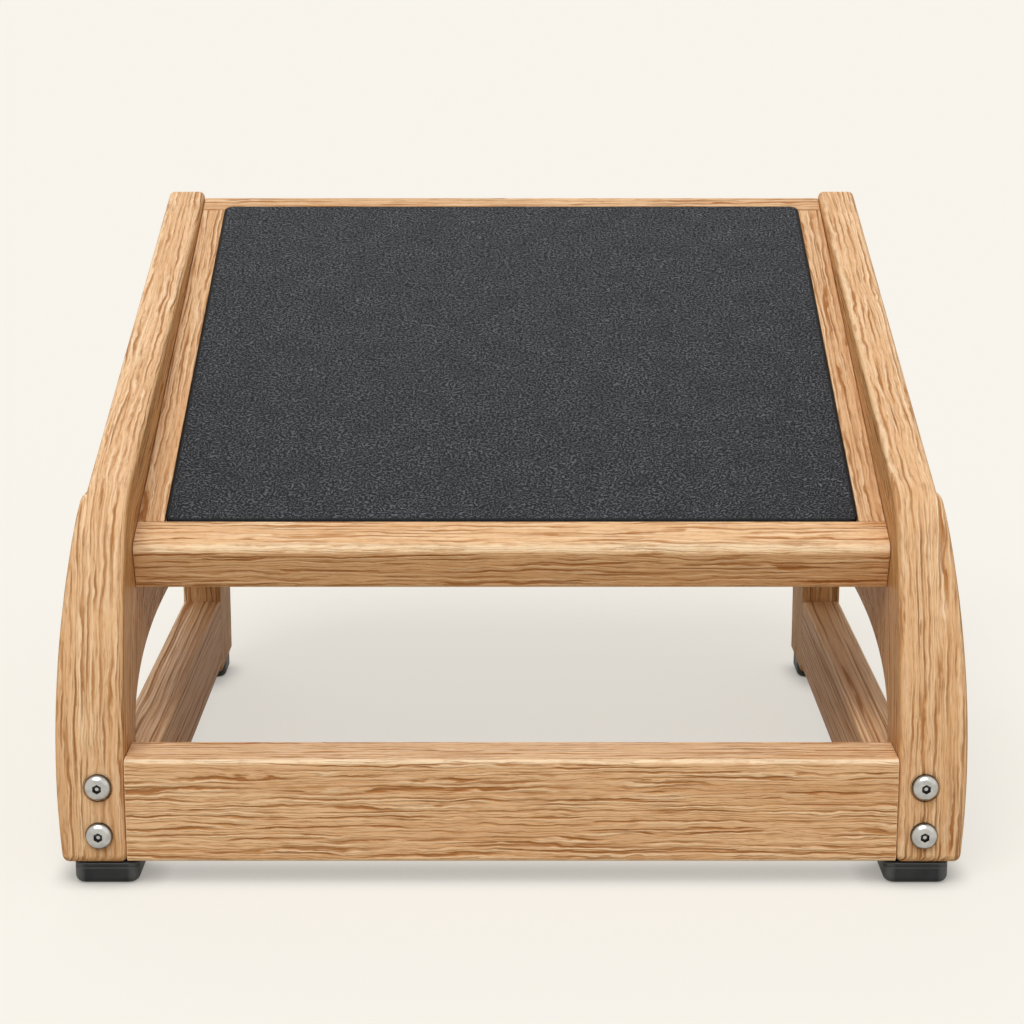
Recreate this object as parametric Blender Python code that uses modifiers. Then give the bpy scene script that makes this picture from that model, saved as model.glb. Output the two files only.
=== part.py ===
"""Sloping oak footrest: two side frames, a lipped platform with a rubber mat, and low rails.

Units are metres, +Z is up, +X is the width and +Y runs from the low front edge to the high back.
Depths are measured from the front of the legs, and one empty moves everything so that the
footrest stands centred over the world origin. Slanted pieces hang on a second empty that lies
on the platform's front edge and leans with it.
"""

import math

import bmesh
import bpy
from mathutils import Matrix, Vector
from mathutils.geometry import delaunay_2d_cdt

MM = 0.001
GAP = 0.3 * MM
HOLE_PLAY = 0.2 * MM
SHARP_ANGLE = math.radians(50)

# Overall places. The depth shift centres the footrest, bolt heads included.
DEPTH_SHIFT = 206.2 * MM
LEG_BOTTOM = 11.5 * MM

# Side frame, seen from the side: the front leg curves back and bends over into the arm.
SIDE_INNER_X = 195.7 * MM
PANEL_THICKNESS = 22.3 * MM
LEG_DEPTH = 46.5 * MM
LEG_CURVE_RADIUS = 337.0 * MM
LEG_CURVE_START = 27.0 * MM
BEND = (42.0 * MM, 192.0 * MM)
BEND_DROP = 22.0 * MM
BEND_RUN_ON_ARM = 18.0 * MM
ARM_END = (404.0 * MM, 312.6 * MM)
ARM_END_DROP = 35.0 * MM
ARM_STEPS = (0.3, 0.53, 0.76)
ARCH_TOP = 106.6 * MM
PANEL_FOOT_INSET = 7.0 * MM
ARM_END_ROUND = 4.2 * MM
PANEL_HEEL_ROUND = 14.0 * MM
PANEL_FOOT_ROUND = 10.0 * MM
LEG_FOOT_ROUND = 5.0 * MM
SIDE_ROUND = 3.4 * MM
SIDE_ROUND_STEPS = 2
BEND_STEPS = (0.0, 0.16, 0.32, 0.46, 0.58, 0.66, 0.7, 0.76, 0.86, 1.0)
LEG_ROWS = 9

# Rails and rear legs stand inboard of the arms and carry the platform on their inner edge.
RAIL_INSET = 10.7 * MM
RAIL_THICKNESS = 23.5 * MM
RAIL_LIFT = 4.0 * MM
RAIL_HEIGHT = 43.0 * MM
REAR_LEG_INSET = 9.5 * MM
REAR_LEG_WIDTH = 56.5 * MM
EDGE_ROUND = 2.0 * MM

# Arch between the legs: half of a flattened oval, then level to the back.
ARCH_OVER_RAIL = 0.5 * MM
ARCH_REACH = 144.25 * MM
ARCH_FULLNESS = 2.8
ARCH_ANGLES = (0, 2.5, 7.4, 12, 18, 25, 32, 40, 50, 60, 70, 80, 90)

# Swelling outer face of the front leg. Its thick part ends like a thumb: a rounded edge that
# leans back over the panel, and a small notch at the shoulder, where the arm begins.
SWELL_PROUD = 12.5 * MM
SWELL_HEIGHT = 68.0 * MM
SHOULDER_STEP = 2.2 * MM
SHOULDER_BEND_STEP = 0.7
NOTCH_HEIGHT = 3.5 * MM
THUMB_START = 4.0 * MM
THUMB_LOW = (9.5 * MM, 11.4 * MM)
THUMB_HIGH = (46.0 * MM, -24.0 * MM)
THUMB_TIP = 7.0 * MM
THUMB_BAND = 5.0 * MM
THUMB_STEPS = 24
THUMB_ROWS = 10
THUMB_MARGIN = 1.5 * MM

# Platform, in its own slope: S runs up the slope and N stands square to it. Its front lies
# behind and below the bend, and its back a little below the end of the arm.
PLATFORM_SETBACK = 9.6 * MM
PLATFORM_SINK = 27.5 * MM
PLATFORM_BACK_SINK = 4.2 * MM
PLATFORM_THICKNESS = 27.0 * MM
FRONT_RAIL_WIDTH = 23.7 * MM
BACK_RAIL_WIDTH = 18.2 * MM
STILE_WIDTH = 17.7 * MM
NOSE_ROUND = 5.0 * MM
JOINT_ROUND = 0.6 * MM
STILE_ROUND = 0.8 * MM
CORE_THICKNESS = 21.0 * MM
MAT_SIDE_MARGIN = 14.4 * MM
MAT_BACK_MARGIN = 13.9 * MM
MAT_THICKNESS = 4.0 * MM
MAT_PROUD = 0.4 * MM
MAT_CORNER = 5.0 * MM
MAT_ROUND = 1.0 * MM
RECESS_PLAY = 0.5 * MM

# Front stretcher with a tenon into each front leg.
STRETCHER_DEPTH = 31.0 * MM
STRETCHER_LIFT = 1.1 * MM
STRETCHER_HEIGHT = 54.4 * MM
STRETCHER_ROUND = 3.0 * MM
MORTISE_FRONT = 9.0 * MM
MORTISE_THICKNESS = 13.0 * MM
MORTISE_SHOULDER = 6.0 * MM
MORTISE_REACH = 26.8 * MM
TENON_END_GAP = 0.5 * MM

# Bolts through leg and tenon, with a pin in the hexagon socket.
BOLT_OFFSET = 13.3 * MM
BOLT_TO_MORTISE_END = 8.6 * MM
BOLT_RADIUS = 4.0 * MM
BOLT_HEAD_RADIUS = 7.0 * MM
BOLT_HEAD_HEIGHT = 4.4 * MM
BOLT_CROWN_RADIUS = 2.9 * MM
BOLT_RIM = 0.7 * MM
BOLT_EDGE = 0.2 * MM
BOLT_TIP = 0.6 * MM
BOLT_SEAT_GAP = 0.1 * MM
SPOT_FACE_RADIUS = 7.7 * MM
SOCKET_FLATS = 4.4 * MM
SOCKET_DEPTH = 2.6 * MM
SOCKET_PIN_RADIUS = 0.9 * MM
SOCKET_PIN_RECESS = 0.8 * MM
SLEEVE_RADIUS = 6.0 * MM
SLEEVE_SETBACK = 0.4 * MM
SLEEVE_LENGTH = 9.0 * MM
CUT_CLEARANCE = 5.0 * MM
BORE_OVERLAP = 1.0 * MM

# Dowels.
RAIL_DOWEL_RADIUS = 4.0 * MM
RAIL_DOWEL_LENGTH = 30.0 * MM
RAIL_DOWEL_INSET = 11.5 * MM
FRONT_DOWEL_OFFSET = 5.3 * MM
FRONT_DOWEL_SETBACK = 1.1 * MM
CORNER_DOWEL_RADIUS = 3.0 * MM
CORNER_DOWEL_DEPTH = 14.0 * MM
CORNER_DOWEL_HOLD = 14.0 * MM
FRONT_CORNER_DOWEL_LENGTH = 30.0 * MM
BACK_CORNER_DOWEL_LENGTH = 23.0 * MM
DOWEL_CHAMFER = 0.8 * MM

# Cleats under the platform, and the wood screws.
CLEAT_SIZE = 18.0 * MM
CLEAT_SETBACK = 11.3 * MM
CLEAT_TO_REAR_LEG = 7.7 * MM
CLEAT_SCREW_STEPS = (0.1, 0.5, 0.9)
CLEAT_SCREW_BITE = 14.0 * MM
PLATFORM_SCREW_STEPS = (0.3, 0.7)
PLATFORM_SCREW_BITE = 13.0 * MM
LAP_SCREW_BITE = 17.3 * MM
LAP_SCREW_RISES = (28.4 * MM, 118.4 * MM)
FOOT_SCREW_SEAT = 3.0 * MM
FOOT_SCREW_TO_MORTISE = 1.2 * MM
SCREW_RADIUS = 2.0 * MM
SCREW_HEAD_RADIUS = 4.0 * MM
SCREW_HEAD_HEIGHT = 2.4 * MM
SCREW_RIM = 0.4 * MM
SCREW_TIP = 4.0 * MM
SCREW_TIP_RADIUS = 0.3 * MM
SCREW_SOCKET_FLATS = 2.5 * MM
SCREW_SOCKET_DEPTH = 1.4 * MM

# Rubber feet. The front feet stand under the legs, the rear feet under the rear legs.
FOOT_ROUND = 3.6 * MM
FOOT_CORNER = 6.0 * MM
FRONT_FOOT_OFFSET = 10.8 * MM
FRONT_FOOT_DEPTH = 19.0 * MM
FRONT_FOOT_SIZE = (33.0 * MM, 34.0 * MM)
REAR_FOOT_SETBACK = 17.0 * MM
REAR_FOOT_SIZE = (21.5 * MM, 30.0 * MM)
FOOT_BORE_RADIUS = 4.6 * MM

# Distances under which points are joined.
WELD_DISTANCE = 0.001 * MM
SEAM_DISTANCE = 0.02 * MM

# Places that follow from the sizes above.
PANEL_OUTER_X = SIDE_INNER_X + PANEL_THICKNESS
PLATFORM_HALF_WIDTH = SIDE_INNER_X - GAP
RAIL_INNER_X = SIDE_INNER_X - RAIL_INSET
RAIL_OUTER_X = RAIL_INNER_X + RAIL_THICKNESS
RAIL_MIDDLE_X = RAIL_INNER_X + RAIL_THICKNESS / 2
RAIL_BOTTOM = LEG_BOTTOM + RAIL_LIFT
RAIL_TOP = RAIL_BOTTOM + RAIL_HEIGHT
REAR_LEG_BACK = ARM_END[0] - REAR_LEG_INSET
REAR_LEG_FRONT = REAR_LEG_BACK - REAR_LEG_WIDTH
ARCH_SPRING = RAIL_TOP + ARCH_OVER_RAIL
ARCH_CENTRE = LEG_DEPTH + ARCH_REACH
PANEL_REAR_FOOT = (ARM_END[0] - PANEL_FOOT_INSET, ARCH_TOP)
BEND_START_HEIGHT = BEND[1] - BEND_DROP

PLATFORM_FRONT = (BEND[0] + PLATFORM_SETBACK, BEND[1] - PLATFORM_SINK)
PLATFORM_RUN = ARM_END[0] - PLATFORM_FRONT[0]
PLATFORM_RISE = ARM_END[1] - PLATFORM_BACK_SINK - PLATFORM_FRONT[1]
PLATFORM_SLOPE = math.atan2(PLATFORM_RISE, PLATFORM_RUN)
PLATFORM_LENGTH = math.hypot(PLATFORM_RUN, PLATFORM_RISE)
MAT_HALF_WIDTH = PLATFORM_HALF_WIDTH - MAT_SIDE_MARGIN
MAT_BACK = PLATFORM_LENGTH - MAT_BACK_MARGIN
RECESS_FLOOR = MAT_THICKNESS - MAT_PROUD + GAP

STRETCHER_BOTTOM = LEG_BOTTOM + STRETCHER_LIFT
STRETCHER_TOP = STRETCHER_BOTTOM + STRETCHER_HEIGHT
MORTISE_BACK = MORTISE_FRONT + MORTISE_THICKNESS
MORTISE_BOTTOM = STRETCHER_BOTTOM + MORTISE_SHOULDER
MORTISE_TOP = STRETCHER_TOP - MORTISE_SHOULDER
MORTISE_END_X = SIDE_INNER_X + MORTISE_REACH
BOLT_X = SIDE_INNER_X + BOLT_OFFSET
BOLT_HEIGHTS = (MORTISE_BOTTOM + BOLT_TO_MORTISE_END, MORTISE_TOP - BOLT_TO_MORTISE_END)
SLEEVE_FRONT = MORTISE_BACK + SLEEVE_SETBACK
SLEEVE_BACK = SLEEVE_FRONT + SLEEVE_LENGTH
BOLT_END = SLEEVE_BACK - SLEEVE_SETBACK
RAIL_DOWEL_HEIGHTS = (RAIL_BOTTOM + RAIL_DOWEL_INSET, RAIL_TOP - RAIL_DOWEL_INSET)
FRONT_DOWEL_X = SIDE_INNER_X + FRONT_DOWEL_OFFSET
FRONT_DOWEL_START = SLEEVE_BACK + FRONT_DOWEL_SETBACK
STILE_MIDDLE_X = PLATFORM_HALF_WIDTH - STILE_WIDTH / 2

CLEAT_TOP = -PLATFORM_THICKNESS - GAP
CLEAT_BOTTOM = CLEAT_TOP - CLEAT_SIZE
CLEAT_INNER_X = PLATFORM_HALF_WIDTH - CLEAT_SIZE
CLEAT_FRONT = FRONT_RAIL_WIDTH + CLEAT_SETBACK
CLEAT_REACH = REAR_LEG_FRONT - CLEAT_TO_REAR_LEG - PLATFORM_FRONT[0]
CLEAT_BACK = (CLEAT_REACH + CLEAT_BOTTOM * math.sin(PLATFORM_SLOPE)) / math.cos(PLATFORM_SLOPE)
FOOT_SCREW_LENGTH = MORTISE_BOTTOM - FOOT_SCREW_TO_MORTISE - FOOT_SCREW_SEAT
FRONT_FOOT_CENTRE = (SIDE_INNER_X + FRONT_FOOT_OFFSET, FRONT_FOOT_DEPTH)
REAR_FOOT_CENTRE = (RAIL_MIDDLE_X, REAR_LEG_BACK - REAR_FOOT_SETBACK)

SIDES = (("left", -1), ("right", 1))


def start_clean():
    for obj in list(bpy.data.objects):
        bpy.data.objects.remove(obj, do_unlink=True)


start_clean()
PARTS = bpy.data.collections.new("footrest")
CUTTERS = bpy.data.collections.new("footrest_cutters")
bpy.context.scene.collection.children.link(PARTS)
bpy.context.scene.collection.children.link(CUTTERS)


def make_material(name, colour, roughness, metallic=0.0):
    material = bpy.data.materials.new(name)
    material.use_nodes = True
    shader = material.node_tree.nodes["Principled BSDF"]
    shader.inputs["Base Color"].default_value = (*colour, 1.0)
    shader.inputs["Roughness"].default_value = roughness
    shader.inputs["Metallic"].default_value = metallic
    return material


OAK_SIDE = make_material("oak_side", (0.68, 0.42, 0.22), 0.45)
OAK_RAIL = make_material("oak_rail", (0.66, 0.40, 0.21), 0.45)
OAK_PLATFORM = make_material("oak_platform", (0.70, 0.44, 0.24), 0.45)
BIRCH_CORE = make_material("birch_core", (0.72, 0.55, 0.36), 0.60)
BEECH_DOWEL = make_material("beech_dowel", (0.74, 0.56, 0.38), 0.60)
MAT_RUBBER = make_material("mat_rubber", (0.045, 0.048, 0.055), 0.72)
FOOT_RUBBER = make_material("foot_rubber", (0.018, 0.019, 0.021), 0.55)
STAINLESS = make_material("stainless_bolt", (0.62, 0.61, 0.59), 0.28, 1.0)
ZINC = make_material("zinc_screw", (0.55, 0.55, 0.56), 0.38, 1.0)


def make_empty(name, location, lean, parent=None):
    empty = bpy.data.objects.new(name, None)
    empty.location = location
    empty.rotation_euler = (lean, 0.0, 0.0)
    empty.parent = parent
    PARTS.objects.link(empty)
    return empty


STAND = make_empty("stand_frame", (0.0, -DEPTH_SHIFT, 0.0), 0.0)
SLOPE = make_empty("platform_frame", (0.0, *PLATFORM_FRONT), PLATFORM_SLOPE, STAND)


def add_object(name, mesh, material, parent=STAND, location=(0.0, 0.0, 0.0), rotation=(0.0, 0.0, 0.0)):
    """Places a mesh as a named part, or as a cutter when it has no material."""
    obj = bpy.data.objects.new(name, mesh)
    obj.location = location
    obj.rotation_euler = rotation
    obj.parent = parent
    if material is None:
        CUTTERS.objects.link(obj)
        obj.hide_render = True
        obj.display_type = "WIRE"
    else:
        PARTS.objects.link(obj)
        mesh.materials.append(material)
        mesh.shade_smooth()
        mesh.set_sharp_from_angle(angle=SHARP_ANGLE)
    return obj


def mesh_from(bm, name):
    mesh = bpy.data.meshes.new(name)
    bm.to_mesh(mesh)
    bm.free()
    return mesh


def round_edges(obj, width, segments=2):
    bevel = obj.modifiers.new("rounded_edges", "BEVEL")
    bevel.width = width
    bevel.segments = segments
    bevel.limit_method = "ANGLE"
    bevel.angle_limit = SHARP_ANGLE


def cut(obj, *cutters):
    for cutter in cutters:
        boolean = obj.modifiers.new("cut_" + cutter.name, "BOOLEAN")
        boolean.operation = "DIFFERENCE"
        boolean.object = cutter


def box_mesh(name, size):
    bm = bmesh.new()
    bmesh.ops.create_cube(bm, size=1.0, matrix=Matrix.Diagonal((*size, 1.0)))
    return mesh_from(bm, name)


def box(name, low, high, material, parent=STAND):
    """A box between two corners, with its origin in its middle."""
    low = Vector(low)
    high = Vector(high)
    return add_object(name, box_mesh(name, high - low), material, parent, (low + high) / 2)


def prism_mesh(name, outline, thickness):
    """A flat outline in its own XY plane, as thick as asked, centred on that plane."""
    curve = bpy.data.curves.new(name, "CURVE")
    curve.dimensions = "2D"
    curve.fill_mode = "BOTH"
    curve.extrude = thickness / 2
    spline = curve.splines.new("POLY")
    spline.points.add(len(outline) - 1)
    for point, (u, v) in zip(spline.points, outline):
        point.co = (u, v, 0.0, 1.0)
    spline.use_cyclic_u = True
    holder = bpy.data.objects.new(name, curve)
    PARTS.objects.link(holder)
    evaluated = holder.evaluated_get(bpy.context.evaluated_depsgraph_get())
    mesh = bpy.data.meshes.new_from_object(evaluated)
    bpy.data.objects.remove(holder)
    bpy.data.curves.remove(curve)
    bm = bmesh.new()
    bm.from_mesh(mesh)
    bmesh.ops.remove_doubles(bm, verts=bm.verts, dist=WELD_DISTANCE)
    bmesh.ops.recalc_face_normals(bm, faces=bm.faces)
    bm.to_mesh(mesh)
    bm.free()
    return mesh


def along_x(name, outline, x_low, x_high, material, parent=STAND):
    """A depth-and-height outline drawn out along the width."""
    mesh = prism_mesh(name, outline, x_high - x_low)
    turn = Matrix(((0, 0, 1), (1, 0, 0), (0, 1, 0))).to_4x4()
    mesh.transform(turn)
    return add_object(name, mesh, material, parent, ((x_low + x_high) / 2, 0.0, 0.0))


def rounded_outline(corners, steps=4):
    """Replaces each (u, v, radius) corner by an arc of that radius."""
    outline = []
    count = len(corners)
    for index, (u, v, radius) in enumerate(corners):
        here = Vector((u, v))
        before = (Vector(corners[index - 1][:2]) - here).normalized()
        after = (Vector(corners[(index + 1) % count][:2]) - here).normalized()
        if radius == 0.0:
            outline.append(tuple(here))
            continue
        half = before.angle(after) / 2
        centre = here + (before + after).normalized() * (radius / math.sin(half))
        start = here + before * (radius / math.tan(half)) - centre
        end = here + after * (radius / math.tan(half)) - centre
        sweep = start.angle_signed(end)
        for step in range(steps + 1):
            turned = start.copy()
            turned.rotate(Matrix.Rotation(-sweep * step / steps, 2))
            outline.append(tuple(centre + turned))
    return outline


def bar_outline(depth_low, depth_high, low, high, radii):
    """A bar's section, with radii for its front bottom, back bottom, back top and front top."""
    corners = ((depth_low, low), (depth_high, low), (depth_high, high), (depth_low, high))
    return rounded_outline([(u, v, radius) for (u, v), radius in zip(corners, radii)])


RIGHTWARD = Vector((1.0, 0.0, 0.0))
REARWARD = Vector((0.0, 1.0, 0.0))
UPWARD = Vector((0.0, 0.0, 1.0))


def aim(direction):
    """Turn that takes a piece built along its own Z axis to a direction."""
    return UPWARD.rotation_difference(direction)


def add_rod(bm, start, direction, length, radius, sides):
    middle = Vector(start) + direction * length / 2
    bmesh.ops.create_cone(
        bm,
        cap_ends=True,
        segments=sides,
        radius1=radius,
        radius2=radius,
        depth=length,
        matrix=Matrix.Translation(middle) @ aim(direction).to_matrix().to_4x4(),
    )


def rods_cutter(name, rods, parent=STAND, sides=16):
    """Round bores as one cutter. Each rod is its start, its direction, its length and its radius."""
    bm = bmesh.new()
    for start, direction, length, radius in rods:
        add_rod(bm, start, direction, length, radius, sides)
    return add_object(name, mesh_from(bm, name), None, parent)


def turned(name, profile, material, parent, location, direction, steps=16, closed=False):
    """A profile of (radius, height) points, top to bottom, turned about the piece's own axis."""
    mesh = bpy.data.meshes.new(name)
    edges = [(i, i + 1) for i in range(len(profile) - 1)]
    if closed:
        edges.append((len(profile) - 1, 0))
    mesh.from_pydata([(radius, 0.0, height) for radius, height in profile], edges, [])
    obj = add_object(name, mesh, material, parent, location, aim(direction).to_euler())
    screw = obj.modifiers.new("turned", "SCREW")
    screw.steps = steps
    screw.render_steps = steps
    screw.use_merge_vertices = True
    screw.merge_threshold = SEAM_DISTANCE
    screw.use_smooth_shade = True
    return obj


def dowel(name, start, direction, length, radius, parent=STAND):
    profile = [
        (0.0, length),
        (radius - DOWEL_CHAMFER, length),
        (radius, length - DOWEL_CHAMFER),
        (radius, DOWEL_CHAMFER),
        (radius - DOWEL_CHAMFER, 0.0),
        (0.0, 0.0),
    ]
    return turned(name, profile, BEECH_DOWEL, parent, start, direction, steps=8)


def dowel_bore(start, length, radius):
    """Bore a little longer and wider than a dowel that runs rearward."""
    return (Vector(start) - REARWARD * GAP, REARWARD, length + 2 * GAP, radius + HOLE_PLAY)


def socket_cutter(name, parent, location, direction, flats, depth, pin_radius=0.0):
    """Six-sided socket, open at the head. A pin, where there is one, is left standing in it."""
    turn = aim(direction).to_euler()
    bm = bmesh.new()
    floor = UPWARD * -depth
    add_rod(bm, floor, UPWARD, depth + CUT_CLEARANCE, flats / math.sqrt(3), 6)
    cutter = add_object(name, mesh_from(bm, name), None, parent, location, turn)
    if pin_radius > 0.0:
        bm = bmesh.new()
        add_rod(bm, floor * 2, UPWARD, depth * 2 - SOCKET_PIN_RECESS, pin_radius, 10)
        pin_name = name + "_pin"
        pin = add_object(pin_name, mesh_from(bm, pin_name), None, parent, location, turn)
        cut(cutter, pin)
    return cutter


def wood_screw(name, head, direction, length, parent=STAND):
    """Countersunk screw from its head's face along a direction, with a small hexagon socket."""
    profile = [
        (0.0, 0.0),
        (SCREW_HEAD_RADIUS, 0.0),
        (SCREW_HEAD_RADIUS, -SCREW_RIM),
        (SCREW_RADIUS, -SCREW_HEAD_HEIGHT),
        (SCREW_RADIUS, -(length - SCREW_TIP)),
        (SCREW_TIP_RADIUS, -length),
        (0.0, -length),
    ]
    obj = turned(name, profile, ZINC, parent, head, -direction, steps=10)
    socket = socket_cutter("socket_" + name, parent, head, -direction, SCREW_SOCKET_FLATS, SCREW_SOCKET_DEPTH)
    cut(obj, socket)


def screw_bores(name, screws, parent=STAND):
    """Cutter with the countersunk hole of each (head, direction, length) screw."""
    wide = SCREW_HEAD_RADIUS + HOLE_PLAY
    narrow = SCREW_RADIUS + HOLE_PLAY
    bm = bmesh.new()
    for head, direction, length in screws:
        profile = [
            (0.0, -GAP),
            (wide, -GAP),
            (wide, SCREW_RIM + HOLE_PLAY),
            (narrow, SCREW_HEAD_HEIGHT + HOLE_PLAY),
            (narrow, length + GAP),
            (0.0, length + GAP),
        ]
        place = Matrix.Translation(Vector(head)) @ aim(direction).to_matrix().to_4x4()
        verts = [bm.verts.new(place @ Vector((radius, 0.0, depth))) for radius, depth in profile]
        edges = [bm.edges.new(pair) for pair in zip(verts, verts[1:])]
        bmesh.ops.spin(
            bm,
            geom=verts + edges,
            cent=head,
            axis=direction,
            angle=2 * math.pi,
            steps=12,
            use_merge=True,
        )
    bmesh.ops.remove_doubles(bm, verts=bm.verts, dist=WELD_DISTANCE)
    bmesh.ops.recalc_face_normals(bm, faces=bm.faces)
    return add_object(name, mesh_from(bm, name), None, parent)


def leg_front(height):
    """Depth of the leg's front face at a height: upright at the floor, then an arc."""
    rise = max(0.0, height - LEG_CURVE_START)
    return LEG_CURVE_RADIUS - math.sqrt(LEG_CURVE_RADIUS ** 2 - rise ** 2)


def arch_point(angle):
    bend = 2 / ARCH_FULLNESS
    rise = ARCH_TOP - ARCH_SPRING
    turn = math.radians(angle)
    depth = ARCH_CENTRE - ARCH_REACH * max(0.0, math.cos(turn)) ** bend
    return (depth, ARCH_SPRING + rise * math.sin(turn) ** bend)


def bezier(points, step):
    """Point on a curve of two, three or four control points."""
    points = [Vector(point) for point in points]
    while len(points) > 1:
        points = [a.lerp(b, step) for a, b in zip(points, points[1:])]
    return tuple(points[0])


def bend_point(step):
    """Rounded bend from the leg's front face onto the top of the arm."""
    direction = (Vector(ARM_END) - Vector(BEND)).normalized()
    start = (leg_front(BEND_START_HEIGHT), BEND_START_HEIGHT)
    end = Vector(BEND) + direction * BEND_RUN_ON_ARM
    return bezier((start, BEND, tuple(end)), step)


def ease(value):
    """Goes from nought to one, level at both ends."""
    value = min(1.0, max(0.0, value))
    return value * value * (3 - 2 * value)


SHOULDER = bend_point(SHOULDER_BEND_STEP)
SWELL_REACH = (SHOULDER[1] - SWELL_HEIGHT) / math.sqrt(1 - SHOULDER_STEP / SWELL_PROUD)
THUMB_POINTS = (
    (LEG_DEPTH + THUMB_START, ARCH_SPRING),
    (LEG_DEPTH + THUMB_LOW[0], ARCH_TOP + THUMB_LOW[1]),
    (BEND[0] + THUMB_HIGH[0], BEND[1] + THUMB_HIGH[1]),
    (SHOULDER[0] + THUMB_TIP, SHOULDER[1]),
)
THUMB_CURVE = [bezier(THUMB_POINTS, step / THUMB_STEPS) for step in range(THUMB_STEPS + 1)]


def thumb_back(height):
    """Depth at which the leg's thick part drops back to the panel."""
    for low, high in zip(THUMB_CURVE, THUMB_CURVE[1:]):
        if low[1] <= height <= high[1]:
            return low[0] + (high[0] - low[0]) * (height - low[1]) / (high[1] - low[1])
    return THUMB_CURVE[0][0] if height < ARCH_SPRING else THUMB_CURVE[-1][0]


def outer_x(depth, height):
    """Distance of the side frame's outer face from the middle of the footrest."""
    swell = SWELL_PROUD * (1 - ((height - SWELL_HEIGHT) / SWELL_REACH) ** 2)
    beside = ease((thumb_back(height) - depth) / THUMB_BAND + 0.5)
    below = ease((SHOULDER[1] - height) / NOTCH_HEIGHT)
    return PANEL_OUTER_X + swell * beside * below


def side_outline():
    """Outline from the leg's lower front corner up, over the arm, and back round the arch."""
    rise = (BEND_START_HEIGHT - ARCH_SPRING) / LEG_ROWS
    low_heights = [LEG_CURVE_START, (LEG_CURVE_START + ARCH_SPRING) / 2]
    high_heights = [ARCH_SPRING + rise * row for row in range(LEG_ROWS)]
    drop = Vector((math.sin(PLATFORM_SLOPE), -math.cos(PLATFORM_SLOPE))) * ARM_END_DROP
    points = [(leg_front(height), height) for height in low_heights + high_heights]
    points += [bend_point(step) for step in BEND_STEPS]
    points += [tuple(Vector(BEND).lerp(Vector(ARM_END), step)) for step in ARM_STEPS]
    corners = [(leg_front(LEG_BOTTOM), LEG_BOTTOM, LEG_FOOT_ROUND)]
    corners += [(*point, 0.0) for point in points]
    corners += [
        (*ARM_END, ARM_END_ROUND),
        (*(Vector(ARM_END) + drop), PANEL_HEEL_ROUND),
        (*PANEL_REAR_FOOT, PANEL_FOOT_ROUND),
    ]
    corners += [(*arch_point(angle), 0.0) for angle in reversed(ARCH_ANGLES)]
    corners += [(LEG_DEPTH, height, 0.0) for height in reversed(low_heights)]
    corners.append((LEG_DEPTH, LEG_BOTTOM, LEG_FOOT_ROUND))
    return [Vector(point) for point in rounded_outline(corners, 3)]


def inset(outline, distance):
    """The same loop, moved inwards by a distance."""
    loop = []
    for index, here in enumerate(outline):
        before = (here - outline[index - 1]).normalized()
        after = (outline[(index + 1) % len(outline)] - here).normalized()
        inward = Vector((before.y + after.y, -before.x - after.x)).normalized()
        loop.append(here + inward * (distance / inward.dot(Vector((before.y, -before.x)))))
    return loop


def thumb_edge_points(loop):
    """Points on both sides of the thick part's edge that lie clear of a loop."""
    low = ARCH_SPRING
    high = SHOULDER[1] - NOTCH_HEIGHT
    points = []
    for row in range(THUMB_ROWS + 1):
        height = low + (high - low) * row / THUMB_ROWS
        for side in (-0.5, 0.5):
            point = Vector((thumb_back(height) + THUMB_BAND * side, height))
            nearest = min(loop, key=lambda corner: (corner - point).length)
            ahead = loop[(loop.index(nearest) + 1) % len(loop)] - nearest
            depth_inside = (point - nearest).dot(Vector((ahead.y, -ahead.x)).normalized())
            if depth_inside > THUMB_MARGIN:
                points.append(point)
    return points


def side_frame_mesh(name, sign):
    """Loft of rings round the outline, with a flat inner face and the swelling outer face."""
    outline = side_outline()
    count = len(outline)
    bm = bmesh.new()
    rings = []
    for step in range(SIDE_ROUND_STEPS, -1, -1):
        turn = math.pi / 2 * step / SIDE_ROUND_STEPS
        loop = inset(outline, SIDE_ROUND * (1 - math.cos(turn)))
        x = SIDE_INNER_X + SIDE_ROUND * (1 - math.sin(turn))
        rings.append([bm.verts.new((sign * x, *point)) for point in loop])
    for step in range(SIDE_ROUND_STEPS + 1):
        turn = math.pi / 2 * step / SIDE_ROUND_STEPS
        loop = inset(outline, SIDE_ROUND * (1 - math.cos(turn)))
        sunk = SIDE_ROUND * (1 - math.sin(turn))
        rings.append([bm.verts.new((sign * (outer_x(*point) - sunk), *point)) for point in loop])
    for low, high in zip(rings, rings[1:]):
        for index in range(count):
            following = (index + 1) % count
            bm.faces.new((low[index], low[following], high[following], high[index]))
    bm.faces.new(rings[0])
    inner_points = thumb_edge_points(loop)
    top = rings[-1] + [bm.verts.new((sign * outer_x(*point), *point)) for point in inner_points]
    loop_edges = [(index, (index + 1) % count) for index in range(count)]
    result = delaunay_2d_cdt(loop + inner_points, loop_edges, [], 1, WELD_DISTANCE)
    for triangle in result[2]:
        bm.faces.new([top[result[3][corner][0]] for corner in triangle])
    bmesh.ops.recalc_face_normals(bm, faces=bm.faces)
    return mesh_from(bm, name)


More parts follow.
